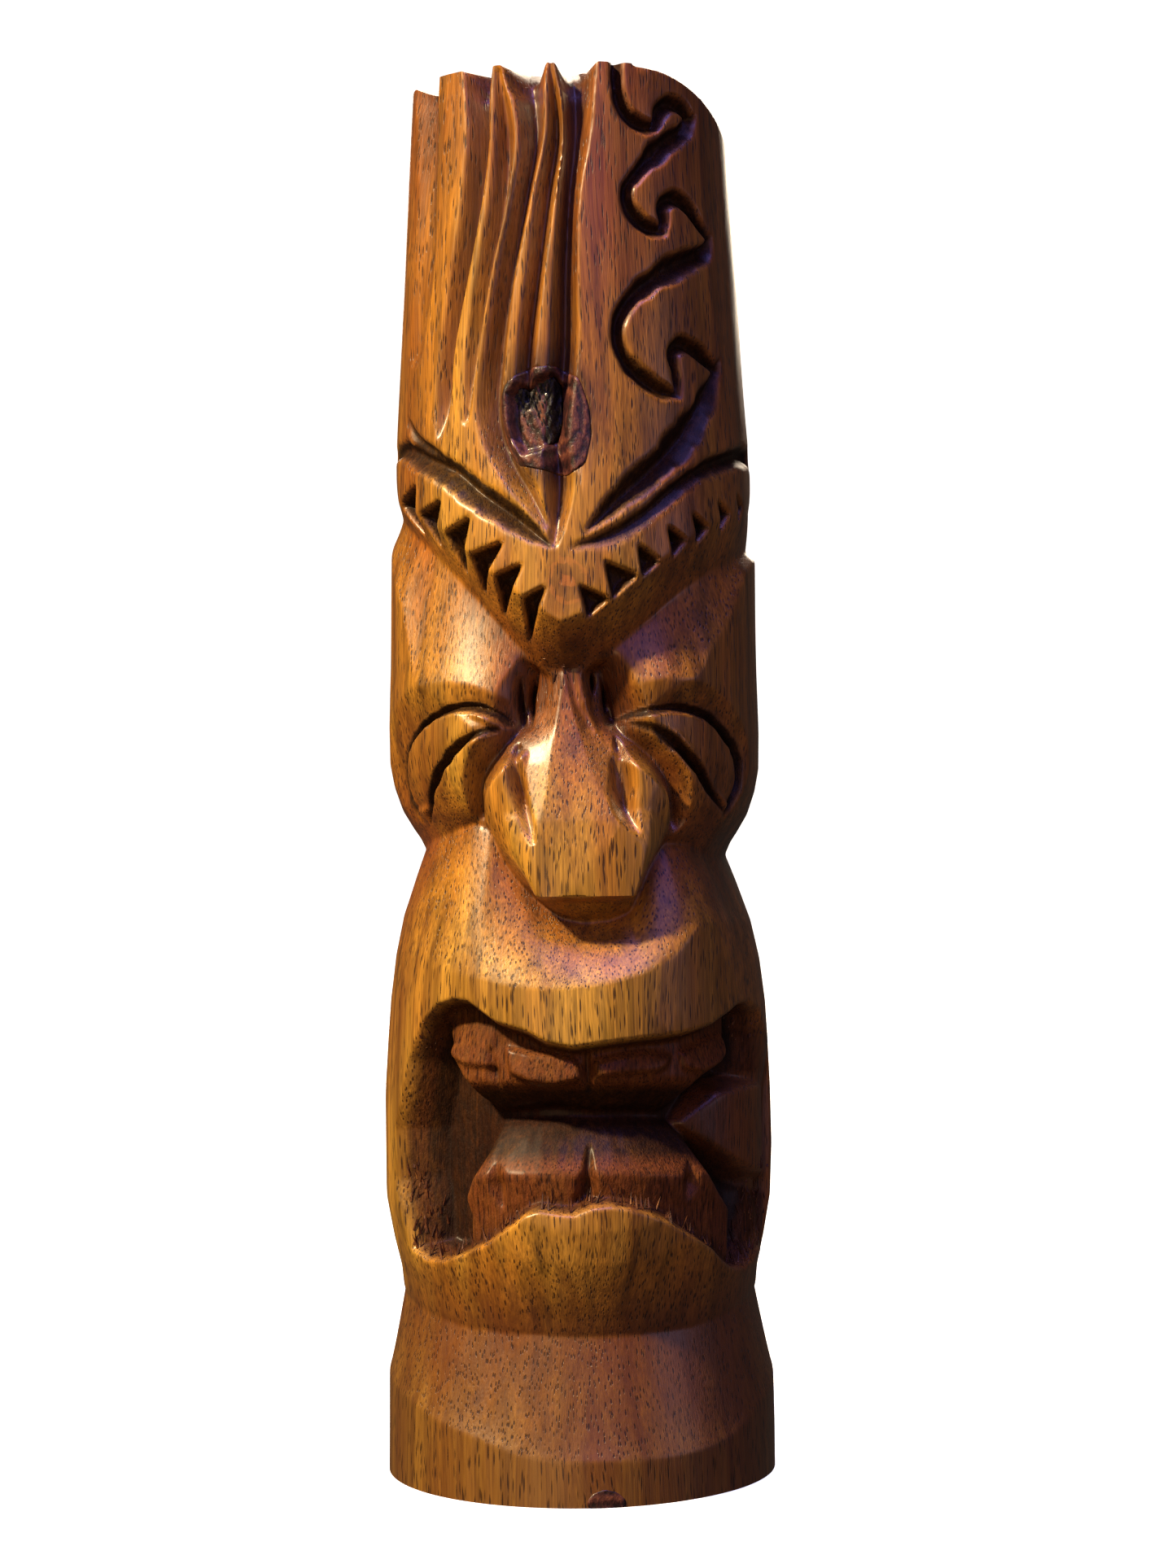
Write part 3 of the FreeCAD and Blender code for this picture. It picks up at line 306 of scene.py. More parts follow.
# Wave scroll of the crown, stroke by stroke: bearing, height, half width.
SCROLL = [
    [(18.6, 309, 1.9), (18.3, 299.8, 1.9), (19.5, 296.1, 2.1), (21.5, 294, 2.2), (25.3, 292.3, 2.1),
     (29.3, 291.6, 1.9), (32.9, 291.8, 1.5)],
    [(30.5, 290.6, 0.5), (33.0, 292.0, 1.3), (35.1, 295.2, 2.0), (39.9, 297.4, 2.2), (45.6, 296.9, 2.1),
     (50.2, 294.6, 1.6)],
    [(51.5, 295.4, 0.9), (46.5, 292.0, 2.4), (37.6, 288.7, 2.7), (29.3, 284.4, 2.4), (22.3, 279.6, 1.4)],
    [(24.5, 281.4, 0.9), (20.6, 277.7, 1.8), (20.9, 274.6, 2.1), (24, 271.6, 2.3), (28.2, 269.9, 2.2),
     (33.6, 269.3, 1.6)],
    [(32.5, 268.6, 0.6), (34.4, 270.9, 1.3), (34.2, 274.6, 1.9), (39.7, 276.9, 2.2), (45.8, 275.5, 2.2),
     (50.8, 272.4, 1.9), (57.0, 269.3, 0.9)],
    [(57.6, 269.8, 0.6), (55.4, 266.9, 1.9), (46.5, 264.2, 3.0), (37.5, 261.7, 3.1), (27.7, 258, 2.6),
     (20, 253.7, 2.0), (16.2, 249.6, 1.9), (15.7, 245.6, 2.0), (18.6, 240.8, 2.1), (24.1, 237.4, 2.3),
     (30.6, 235, 2.0), (37.6, 234.2, 0.8)],
    [(37.6, 233.8, 0.6), (36.9, 236.6, 1.2), (36.3, 239.7, 1.5), (35.5, 243.2, 1.8), (38.9, 245.2, 2.1),
     (46.4, 244.3, 2.3), (53.7, 241.7, 1.7), (57.5, 240.4, 0.8)],
]
SCROLL_DEPTH = 3.1

# Leaf cuts over the crown's lower edge: bearing, height, left, right, depth.
LEAVES = [
    [(58, 243, 0.8, 0.8, 0.8), (53.4, 236.7, 2.8, 2.4, 3.2), (47.7, 231.4, 3.6, 3.0, 4.0),
     (37.8, 224.2, 4.2, 3.4, 4.2), (26.5, 217.6, 4.0, 3.2, 4.0), (15.3, 211.7, 3.0, 2.4, 3.2),
     (8.2, 207.2, 1.6, 1.4, 2.0), (4.0, 204.6, 0.6, 0.6, 0.6)],
    [(88, 223.6, 2.0, 2.4, 2.4), (78.6, 223.5, 2.4, 2.6, 2.8), (58.9, 221.3, 2.4, 2.6, 3.0),
     (44.2, 218.2, 2.0, 2.6, 2.6), (32.1, 213.3, 1.8, 2.4, 2.4), (23.2, 208.7, 1.7, 2.6, 2.2),
     (11.8, 204.2, 1.4, 2.6, 1.8), (0.6, 201.6, 0.6, 1.0, 0.8)],
    [(-90, 224.8, 1.2, 1.4, 1.2), (-83.4, 224.8, 1.6, 2.0, 1.8), (-66.7, 224.7, 2.6, 2.4, 2.6),
     (-54.3, 221.9, 3.4, 2.6, 3.4), (-41.3, 218.6, 3.8, 3.0, 4.0), (-30.9, 213.7, 3.6, 3.0, 4.0),
     (-21.9, 209.8, 3.2, 2.8, 3.8), (-13.6, 205.7, 2.6, 2.4, 3.2), (-6.9, 202.1, 1.0, 0.9, 1.4)],
    [(-66, 231.5, 0.8, 0.8, 0.8), (-59.9, 227, 2.0, 1.6, 2.0), (-48.8, 222.9, 2.2, 1.8, 2.4),
     (-39.1, 218.8, 1.2, 1.2, 1.6)],
]

# Chips along the crown's lower edge: corners as bearing, height.
CHIPS = [
    [(-58.5, 217.0), (-72.5, 213.3), (-59.5, 205.8), (-58.0, 209.5)],
    [(-44.5, 213.0), (-55.8, 210.2), (-50.4, 202.8), (-47.0, 205.0)],
    [(-32.5, 208.8), (-43.0, 205.6), (-39.6, 196.2), (-35.2, 200.0)],
    [(-20.4, 203.2), (-32.8, 200.6), (-31.6, 191.6), (-25.4, 197.6)],
    [(-14.4, 198.4), (-23.8, 195.9), (-24.6, 186.8), (-18.4, 192.4)],
    [(-7.4, 193.6), (-14.8, 191.0), (-15.4, 180.8), (-10.4, 187.6)],
    [(1.8, 193.6), (11.6, 190.6), (4.2, 186.4)],
    [(9.6, 198.6), (20.6, 195.6), (11.8, 190.2)],
    [(20.2, 202.4), (28.0, 198.6), (21.4, 195.0)],
    [(30.6, 206.4), (38.0, 203.4), (32.4, 199.2)],
    [(40.2, 209.6), (47.6, 206.4), (42.4, 202.4)],
    [(52.0, 212.6), (59.4, 209.8), (54.6, 205.6)],
    [(64.0, 214.6), (70.4, 211.8), (66.4, 208.4)],
]
CHIP_DEPTH = 3.4
# How wide the steep wall of a chip or an eyeball is.
WALL_WIDTH = 0.8

# Upper lids, cut back as slanting planes down to the crescents: bearing, height, left, right, depth.
LIDS = [
    [(-74, 147, 4.0, 0.8, 1.0), (-75, 151.5, 6.5, 0.8, 2.2), (-73, 155, 8.5, 0.8, 3.0),
     (-68.5, 159.3, 9.2, 0.8, 3.4), (-62, 163, 8.6, 0.8, 3.4), (-55, 165.3, 7.6, 0.8, 3.2),
     (-48, 167, 6.6, 0.8, 3.0), (-42, 168, 5.4, 0.8, 2.8), (-35, 168.3, 4.3, 0.8, 2.6),
     (-29, 167.4, 3.8, 0.8, 2.6), (-24, 164.8, 4.2, 0.8, 2.2)],
    [(17.5, 165.2, 4.5, 0.8, 2.0), (22, 166.5, 6.0, 0.8, 2.8), (28, 167.3, 6.4, 0.8, 3.2),
     (34.5, 167.7, 6.2, 0.8, 3.2), (41.5, 167, 6.2, 0.8, 3.2), (48, 165.5, 5.8, 0.8, 3.0),
     (54.5, 162.4, 5.4, 0.8, 2.8), (60.5, 159.1, 5.0, 0.8, 2.4), (63.5, 155.6, 4.2, 0.8, 2.0),
     (64, 151.7, 3.0, 0.8, 1.2)],
]
# Eyeballs, a little lower than the face round them: outlines as bearing, height.
EYES = [
    [(-70, 146), (-72, 155), (-64, 162), (-50, 166.7), (-36, 168), (-25, 164.2), (-37, 160), (-46, 154),
     (-56, 147)],
    [(20, 165.5), (32, 167.6), (44, 166.8), (55, 162), (63, 155), (61, 146), (50, 150), (43, 156),
     (34, 161.5), (26, 163.5)],
]
EYE_DEPTH = 1.2
# Crescents over the eyeballs, creases below them, and stop cuts beside the bridge of the nose.
FACE_CUTS = [
    [(-70, 144.5, 1.2, 1.2, 1.2), (-73, 149.7, 2.4, 2.2, 3.4), (-73, 153.5, 2.6, 2.6, 4.6),
     (-70, 157.7, 2.6, 2.4, 5.2), (-64.5, 161.6, 2.2, 2.0, 5.4), (-57, 164.7, 1.6, 1.5, 5.6),
     (-49.5, 166.7, 1.3, 1.2, 5.6), (-42, 168, 1.2, 1.1, 5.4), (-35, 168.3, 1.2, 1.1, 5.0),
     (-30, 167.6, 1.1, 1.0, 4.6), (-26, 166.2, 1.0, 0.9, 4.2), (-23.6, 164.4, 0.8, 0.8, 3.4)],
    [(17.5, 165.2, 0.6, 0.6, 2.0), (22, 166.5, 1.0, 1.0, 3.6), (28, 167.3, 1.2, 1.1, 4.6),
     (34.5, 167.7, 1.3, 1.2, 5.0), (41.5, 167, 1.4, 1.3, 5.2), (48, 165.5, 1.6, 1.4, 5.2),
     (54.5, 162.4, 2.0, 1.7, 5.0), (60.5, 159.1, 2.2, 2.0, 4.8), (63.5, 155.6, 2.4, 2.2, 4.6),
     (64, 151.7, 2.2, 2.0, 3.8), (61.5, 147.9, 1.6, 1.4, 2.6), (58, 144.7, 0.8, 0.8, 1.2)],
    [(-63.5, 144.2, 0.8, 0.8, 1.2), (-58.5, 147.5, 1.6, 1.5, 3.2), (-52, 152.3, 1.9, 1.9, 4.2),
     (-46, 156.0, 1.8, 1.8, 4.6), (-39.5, 159.6, 1.6, 1.6, 4.2), (-33, 162.1, 1.2, 1.3, 3.2),
     (-26, 163.7, 0.8, 0.8, 2.2)],
    [(20.5, 164.6, 0.7, 0.7, 1.8), (26.5, 163.2, 1.1, 1.1, 3.0), (31.5, 161.0, 1.5, 1.6, 4.0),
     (37, 157.7, 1.7, 1.8, 4.4), (42.5, 154.4, 1.7, 1.8, 4.4), (47, 150.9, 1.5, 1.5, 3.6),
     (53, 147.6, 1.1, 1.1, 2.4), (57, 145.6, 0.6, 0.6, 1.2)],
    [(-20.6, 174.6, 0.4, 0.4, 0.8), (-21.4, 171, 0.9, 0.8, 3.0), (-21.0, 166.5, 0.9, 0.8, 3.0),
     (-20.2, 163.8, 0.4, 0.4, 1.0)],
    [(-16.4, 174.0, 0.4, 0.4, 0.8), (-17.0, 171, 0.9, 0.9, 3.0), (-16.8, 167.0, 0.9, 0.9, 3.0),
     (-16.0, 163.6, 0.5, 0.5, 1.0)],
    [(12.6, 173.4, 0.4, 0.4, 0.8), (13.4, 170.5, 0.9, 0.9, 3.2), (13.4, 167, 0.8, 0.8, 2.4)],
    [(7.6, 176.0, 0.4, 0.4, 0.8), (7.8, 173.5, 1.0, 1.0, 3.0), (7.6, 170.6, 0.6, 0.6, 1.4)],
]


def cut_depths():
    """Depths of the clean cuts, of the stained ones, and of the leaf cuts, which are stained in part. The
    stain is painted near black, partly as the shade in these cuts.
    """
    clean, stained, leaf = np.zeros_like(BEARING), np.zeros_like(BEARING), np.zeros_like(BEARING)
    for n, rows in enumerate(FLUTES):
        deeper = [(b, z, left, right, deep * 1.25) for b, z, left, right, deep in rows[::-1]]
        v_groove(clean, deeper, 0.006, n, 1.4)
    for n, rows in enumerate(SCROLL):
        half = [(b, z, w * 0.92, w * 0.92, SCROLL_DEPTH * min(1.0, w / 1.6) * 1.3) for b, z, w in rows]
        v_groove(stained, half, 0.03, 20 + n)
    stained = np.minimum(stained, SCROLL_DEPTH)
    for n, rows in enumerate(LEAVES):
        v_groove(leaf, rows[::-1], 0.04, 40 + n)
    for corners in CHIPS:
        chip(stained, corners)
    for rows in LIDS:
        v_groove(clean, rows)
    for n, rows in enumerate(FACE_CUTS):
        v_groove(stained, rows, 0.04, 60 + n)
    for outline in EYES:
        inside = inside_outline(outline, FACE_RADIUS)
        clean = np.maximum(clean, EYE_DEPTH * np.clip(inside / WALL_WIDTH, 0, 1))
    return clean, stained, leaf


def chip(depth, corners):
    """A chip with steep walls along its corners and a flat floor."""
    inside = inside_outline(corners, CHIP_RADIUS)
    depth[:] = np.maximum(depth, CHIP_DEPTH * np.clip(inside / WALL_WIDTH, 0, 1))


# ---------------------------------------------------------------- nose

# Sections of the nose: height, then across from left to right (x, how far in front of the axis).
NOSE = [
    (176, [(-7, 29), (-5, 30.5), (-2.4, 33.0), (-1.8, 33.0), (3.0, 30.5), (5.5, 29)]),
    (172, [(-7.5, 29), (-5.5, 30.6), (-2.6, 33.8), (-1.2, 33.8), (3.6, 30.4), (6.5, 28.6)]),
    (168, [(-9, 28.6), (-7, 30.4), (-3.2, 34.6), (-0.4, 34.6), (5.5, 30), (8, 27.6)]),
    (164, [(-11, 28.4), (-9, 31), (-3.8, 35.6), (0.7, 35.6), (7.5, 30.4), (10, 27.6)]),
    (160, [(-15.6, 29), (-13, 32.6), (-4.5, 37), (1.7, 37), (12, 32.4), (15, 28.4)]),
    (156, [(-18.2, 29.6), (-15, 34.2), (-5.0, 38.4), (2.9, 38.4), (14.4, 33.8), (18.2, 29.4)]),
    (150, [(-19.4, 31.0), (-15.4, 36.2), (-5.7, 40.2), (5.2, 40.2), (16, 36.2), (20, 30.8)]),
    (144, [(-19.0, 32.6), (-14.6, 38.4), (-7.0, 41.8), (9.4, 41.8), (16.2, 38.4), (20.4, 32.6)]),
    (138, [(-15.2, 35.2), (-12.6, 39.8), (-8.6, 42.6), (11.6, 42.6), (15.6, 39.8), (18.0, 34.8)]),
    (132.4, [(-10.8, 39.4), (-10.2, 41.4), (-8.6, 43.0), (12.0, 43.0), (13.8, 41.2), (14.6, 39)]),
    (127.6, [(-8.2, 41.6), (-7.8, 42.6), (-6.8, 43.2), (11.4, 43.2), (12.2, 42.4), (12.6, 41.4)]),
]
NOSE_ROOT = 16.0
NOSTRILS = [
    [(-19.6, 159.6, 0.8, 1.0, 1.0), (-19.0, 156.0, 1.6, 1.9, 3.4), (-17.6, 151.0, 2.0, 1.9, 4.2),
     (-15.0, 145.6, 1.7, 1.6, 3.2), (-12.6, 141.4, 1.1, 1.0, 1.8), (-11.0, 138.4, 0.4, 0.4, 0.4)],
    [(15.2, 161.5, 0.8, 0.6, 0.8), (16.4, 157.0, 3.0, 1.6, 3.2), (16.8, 152.0, 4.6, 2.2, 4.6),
     (16.4, 147.6, 4.4, 2.0, 4.4), (17.4, 144.0, 2.4, 1.0, 2.8), (18.6, 141.2, 0.6, 0.5, 0.6)],
]


def nose_distance():
    """The nose's surface as a distance from the axis, nought where there is no nose."""
    heights = np.array([row[0] for row in NOSE], float)[::-1]
    rooted = [[(across[0][0], NOSE_ROOT), *across, (across[-1][0], NOSE_ROOT)] for _, across in NOSE]
    shape = np.array(rooted, float)[::-1]
    out = np.zeros_like(BEARING)
    for m in np.nonzero((HEIGHTS >= heights[0]) & (HEIGHTS <= heights[-1]))[0]:
        places = range(shape.shape[1])
        points = np.array([[np.interp(HEIGHTS[m], heights, shape[:, k, c]) for c in (0, 1)] for k in places])
        bearings = np.degrees(np.arctan2(points[:, 0], points[:, 1]))
        for (x0, y0), (x1, y1), b0, b1 in zip(points, points[1:], bearings, bearings[1:]):
            inside = (BEARINGS >= min(b0, b1)) & (BEARINGS <= max(b0, b1)) & (np.abs(BEARINGS) < 90)
            s, c = np.sin(np.radians(BEARINGS[inside])), np.cos(np.radians(BEARINGS[inside]))
            under = s * (y1 - y0) - c * (x1 - x0)
            r = (x0 * (y1 - y0) - y0 * (x1 - x0)) / np.where(np.abs(under) < 1e-6, 1e-6, under)
            out[m, inside] = np.maximum(out[m, inside], r)
    return out


# Hollows beside the bridge of the nose, above the wings: bearing, height, left, right, depth.
BRIDGE = [
    [(-12, 178, 5, 4, 2), (-14, 173, 7, 5, 6), (-16.5, 168, 8, 6, 8), (-19, 163, 6, 5, 9),
     (-27, 158, 4, 5, 7), (-33, 151, 3.4, 4, 5.5), (-34, 145, 3, 3, 5)],
    [(8, 179, 5, 5, 2), (11, 174, 6, 6, 6), (14, 168, 6, 7, 8.5), (18, 162, 5, 6, 9), (28, 157, 5, 4, 7),
     (34, 151, 4, 3.4, 5.5), (36, 144, 3, 3, 5)],
]


# ---------------------------------------------------------------- mouth

# Outlines seen from the front, x and height: the mouth, its two jaws, its upper teeth and a facet whose stain
# is thinned as painted light.
MOUTH = [(-36.8, 88.9), (-36.0, 94.0), (-33.6, 101.4), (-30, 105.6), (-26, 106.8), (-22.9, 106.3),
         (-20.5, 104.5), (-17, 101.9), (-11, 100.0), (-6.6, 97.6), (-0.8, 96.4), (4.5, 97.2), (11.5, 98.0),
         (18.7, 98.7), (23.9, 99.5), (28.7, 101.0), (33, 103.7), (35.1, 105.3), (37.4, 105.7), (39.4, 103.8),
         (40.3, 98.6), (40.9, 88), (41.2, 76), (41.4, 66), (40.6, 55.2), (39.1, 51.6), (37.4, 49.9),
         (34.9, 49.7), (32.4, 51.1), (30, 53.5), (24.1, 56.9), (19.8, 59.4), (15.5, 61.4), (11.2, 62.5),
         (7, 63.1), (2.7, 62.7), (-1.1, 61.2), (-4, 61.4), (-8.7, 62.2), (-11.4, 61.4), (-14.4, 59.2),
         (-20.4, 55.4), (-25.9, 53.2), (-30.3, 52), (-34.1, 52.3), (-37, 54.7), (-37.6, 60.6), (-38.6, 69.5),
         (-38.4, 80)]
UPPER_JAW = [(-33.5, 107), (-33.0, 99), (-32, 92.7), (-29.8, 88.8), (-26.3, 84.6), (-22.3, 82.2),
             (-14.3, 82.6), (-6.9, 83.1), (3.5, 82.0), (12.9, 82.2), (23.2, 82.0), (26.5, 83.3),
             (29.6, 86.2), (33.5, 89.2), (37.2, 92.6), (38, 107)]
LOWER_JAW = [(-21.7, 80.4), (-24.5, 75.5), (-28.3, 70.5), (-30.4, 64.8), (-29, 60.5), (-29, 50), (38, 48),
             (38.4, 60), (38.6, 63), (33.8, 71.2), (29.1, 77.7), (25.5, 80.2)]
TEETH = [
    [(-28.6, 99.6), (-26.4, 101.8), (-22.8, 102.4), (-20.2, 101), (-19.4, 96), (-18.9, 91.8), (-26.4, 92.6),
     (-30.8, 94.9)],
    [(-17.4, 96.6), (-11.2, 95.4), (-5.8, 94.9), (-0.6, 94.2), (1.0, 91.5), (1.2, 89.2), (-5.3, 87.4),
     (-11.2, 88.6), (-16.0, 90.8)],
    [(3.6, 92.2), (4.2, 93.4), (10.2, 94.6), (16.5, 95.2), (22.6, 94.2), (20.6, 91.6), (18.4, 90.6),
     (10.1, 90.2), (4.8, 89.4)],
    [(24.0, 95.0), (29.5, 97.4), (34.5, 99.2), (35.6, 95.4), (33.6, 92.2), (28.8, 90.4), (24.6, 91.4)],
]
# How far the jaws stand from the axis: height, radius.
UPPER_PROFILE = table([(81, 30.4), (83, 32.6), (86.5, 36.0), (88.6, 38.2), (89.8, 38.6), (93, 38.2),
                       (97, 37.4), (104, 36.8)])
LOWER_PROFILE = table([(48, 38.0), (62, 38.2), (66, 38.8), (69.2, 39.2), (70.0, 38.8), (73.5, 36.4),
                       (77, 33.8), (81, 30.6)])
# Heights that the mouth lies between, its floor from the axis, and how steep its walls and teeth are.
MOUTH_SPAN = (46.0, 110.0)
MOUTH_FLOOR = 30.2
MOUTH_WALL = 3.4
TOOTH_WALL = 2.4
MOUTH_FACET = [(43, 93), (43, 63), (38, 68), (26, 79.5), (33, 88)]
# Notches between the teeth: bearing, height, left, right, depth.
MOUTH_GAPS = [
    [(-28.6, 95, 1.2, 1.0, 1.4), (-27.0, 90.4, 1.6, 1.2, 1.8), (-26.4, 87.8, 0.8, 0.8, 0.8)],
    [(3.0, 95, 0.9, 0.9, 1.4), (3.4, 91.0, 1.3, 1.1, 2.0), (3.8, 87.2, 0.9, 0.9, 1.2)],
    [(3.8, 75, 0.5, 0.5, 0.5), (3.4, 71.5, 1.4, 1.4, 1.6), (2.6, 67.0, 2.6, 2.8, 2.6),
     (2.4, 63.4, 3.0, 3.2, 2.6)],
    [(-27.6, 70.6, 0.6, 0.6, 0.6), (-26.4, 67.0, 2.2, 2.6, 2.2), (-25.4, 63.0, 1.4, 1.4, 1.4)],
    [(39.0, 70.6, 0.6, 0.6, 0.6), (38.8, 67.2, 3.0, 2.4, 2.2), (37.2, 64.0, 1.6, 1.4, 1.4)],
]


def mouth_relief(r):
    """Cuts the mouth into the net.

    Returns how far inside its outline each point lies, and where its wall is the facet at the right, painted
    paler there as painted light.
    """
    nearer = (VIEW_DISTANCE - LOG_RADIUS) / (VIEW_DISTANCE - LOG_RADIUS * np.cos(ANGLE))
    x = np.where(np.abs(BEARING) < 88, LOG_RADIUS * np.sin(ANGLE) * nearer, FAR_OUT)
    height = VIEW_HEIGHT + (HEIGHT - VIEW_HEIGHT) * nearer
    part = np.s_[np.searchsorted(HEIGHTS, MOUTH_SPAN[0]) : np.searchsorted(HEIGHTS, MOUTH_SPAN[1]), :]
    xs, zs = x[part], height[part]
    inside = polygon_depth(MOUTH, xs, zs)
    floor = MOUTH_FLOOR + 2.2 * smooth((np.abs(xs - 2) - 30) / 8)
    upper = polygon_depth(UPPER_JAW, xs, zs)
    lower = polygon_depth(LOWER_JAW, xs, zs)
    jaw_up = np.minimum(UPPER_PROFILE(zs), floor + 2.6 * np.maximum(upper, 0))
    jaw_low = np.minimum(LOWER_PROFILE(zs), floor + 2.2 * np.maximum(lower, 0))
    deep = np.maximum(floor, np.maximum(jaw_up, jaw_low))
    for tooth in TEETH:
        d = polygon_depth(tooth, xs, zs)
        face = 40.3 - 0.28 * np.maximum(zs - 90.0, 0)
        deep = np.where(d > 0, np.maximum(deep, np.minimum(face, deep + TOOTH_WALL * d)), deep)
    gaps = np.zeros_like(BEARING)
    for n, rows in enumerate(MOUTH_GAPS):
        v_groove(gaps, rows[::-1], 0.05, 80 + n)
    facet = np.minimum(polygon_depth(MOUTH_FACET, xs, zs) * 3.0, 33.0 + (xs - 27.0) * 0.62 - deep)
    deep = deep + np.maximum(facet, 0.0) - gaps[part]
    wall = r[part] - MOUTH_WALL * np.maximum(inside, 0)
    r[part] = np.where(inside > 0, np.minimum(r[part], np.maximum(wall, deep)), r[part])
    full = np.full_like(BEARING, -9.0)
    full[part] = inside
    clear = np.zeros_like(BEARING)
    # Painted light: where the stain is thinned, on the facet at the right.
    clear[part] = smooth(polygon_depth(MOUTH_FACET, xs, zs) / 0.8)
    return full, clear


# ---------------------------------------------------------------- knots

# Middles of the crown's dead knot and of the live one at the tip of the brow: x, y, z.
CROWN_KNOT_AT = (-5.0, -38.5, 230.0)
BROW_KNOT_AT = (-1.0, -40.0, 194.0)
# Outlines of the ring of bark and of the dead stub in it: bearing, height.
BARK_EDGE = [(-23.3, 232), (-20.5, 236.5), (-15, 239.5), (-4, 240), (3, 237), (6, 231), (6.5, 225),
             (4.5, 219), (-1, 216.5), (-10, 218), (-17, 219), (-21.5, 222.5), (-23.5, 227)]
CORE_EDGE = [(-19.6, 234), (-17, 236), (-13.5, 234.6), (-11, 236.8), (-6, 238), (-3.2, 236), (-3, 228),
             (-5, 224.5), (-10, 222.5), (-15, 221.8), (-18.5, 225)]
# How far the stub lies below the crown's surface.
KNOT_SINK = 4.4


def shoulder_limit():
    """How far from the axis the round shoulder at the top, right side, lets the crown reach."""
    flat, radius = 14.0, 24.3
    up = np.clip(HEIGHT - (TOP - radius), 0, radius)
    x = flat + np.sqrt(np.maximum(radius**2 - up**2, 0))
    s = np.sin(ANGLE)
    return np.where((s > 0.05) & (up > 0), x / np.maximum(s, 0.05), FAR_OUT)


def soften(field):
    """Rounds the net's sharp corners by a fraction of a millimetre."""
    sideways = (np.roll(field, 1, axis=1) + 2 * field + np.roll(field, -1, axis=1)) / 4
    out = sideways.copy()
    out[1:-1] = (sideways[:-2] + 2 * sideways[1:-1] + sideways[2:]) / 4
    return out


def carve():
    """The finished net, and what its materials need to know: how deep and how rough each knot's cut is, and
    how deep each hollow lies, for the painted shade that darkens it.
    """
    bare = tiers()
    bridge = np.zeros_like(BEARING)
    for rows in BRIDGE:
        v_groove(bridge, rows[::-1])
    r = bare - bridge * smooth((CREASE - HEIGHT) / 3.0) * smooth((HEIGHT - NOTCH) / 3.0)
    r = np.maximum(r, np.where(HEIGHT < CREASE, np.minimum(nose_distance(), 43.6), 0.0))
    clean, stained, leaf = cut_depths()
    nostril = np.zeros_like(BEARING)
    for rows in NOSTRILS:
        v_groove(nostril, rows[::-1], 0.03, 90)
    r = r - np.maximum.reduce([clean, stained, leaf, nostril])
    mouth, clear = mouth_relief(r)
    r = np.minimum(r, shoulder_limit())
    cut = np.maximum(np.clip(stained / 1.2, 0, 1), np.clip(leaf / 1.0, 0, 1))
    # Painted light: the stain is thinned on the facet at the mouth's right, as if the sun lit it.
    cut = np.maximum(cut, np.clip((mouth - 0.2) / 0.8, 0, 1)) * (1 - 0.75 * clear)
    torn = np.exp(-(((BEARING + 2.0) / 9.0) ** 2) - ((HEIGHT - CREASE - 1.0) / 5.0) ** 2)
    r = r + 0.20 * scatter_noise(26, 34, 1) * (1 - cut) + 0.03 * scatter_noise(7, 12, 2)
    r = r + np.maximum(cut, torn) * (0.05 * scatter_noise(2.4, 2.8, 3) + 0.05 * scatter_noise(1.0, 2.6, 4))
    rim = smooth(mouth / 0.4) * (1 - smooth((mouth - 1.4) / 1.4)) * ((HEIGHT < 68) | (HEIGHT > 95))
    # Painted shade: how far the flutes lie below the crown's surface, and any cut below the bare tiers, so
    # that the material darkens each hollow by its depth.
    recess_shade = np.clip((crown_radius(HEIGHT) - r) / 4.0, 0, 1) * smooth((HEIGHT - CROWN) / 2.0)
    below = np.clip((bare - r) / 7.0, 0, 1)
    for _ in range(2):
        r = soften(r)
    r = np.minimum(r, FOOT_RADIUS - 0.05)
    return r, {"cut": cut, "recess_shade": np.maximum(recess_shade, below), "mouth": np.clip(mouth / 3, 0, 1), "torn": torn,
               "splintered": np.maximum(0.8 * torn * (torn > 0.35), rim)}


# ---------------------------------------------------------------- meshes


def sample(field, bearing, height):
    """A value of the net at any bearing and height, between its knots."""
    order = np.argsort(BEARINGS)
    b = BEARINGS[order]
    j = np.clip(np.searchsorted(b, bearing) - 1, 0, len(b) - 2)
    i = np.clip(np.searchsorted(HEIGHTS, height) - 1, 0, len(HEIGHTS) - 2)
    fb = np.clip((bearing - b[j]) / (b[j + 1] - b[j]), 0, 1)
    fz = np.clip((height - HEIGHTS[i]) / (HEIGHTS[i + 1] - HEIGHTS[i]), 0, 1)
    f = field[:, order]
    below = f[i, j] * (1 - fb) * (1 - fz) + f[i, j + 1] * fb * (1 - fz)
    return below + f[i + 1, j] * (1 - fb) * fz + f[i + 1, j + 1] * fb * fz


def placed(name, data):
    """A new object in the scene that holds a mesh, a lamp or a camera."""
    obj = bpy.data.objects.new(name, data)
    bpy.context.scene.collection.objects.link(obj)
    return obj


def mesh_object(name, points, faces):
    """A smooth mesh object from points in millimetres and faces."""
    mesh = bpy.data.meshes.new(name)
    mesh.from_pydata((np.asarray(points) * MM).tolist(), [], [tuple(f) for f in faces])
    mesh.validate()
    mesh.shade_smooth()
    return placed(name, mesh)


def evaluated(obj):
    """Applies an object's modifiers to its mesh."""
    graph = bpy.context.evaluated_depsgraph_get()
    mesh = bpy.data.meshes.new_from_object(obj.evaluated_get(graph))
    mesh.name = obj.name
    obj.modifiers.clear()
    obj.data = mesh
    return obj


MOST_TRIANGLES = 190000
SHARP_ANGLE = 55.0


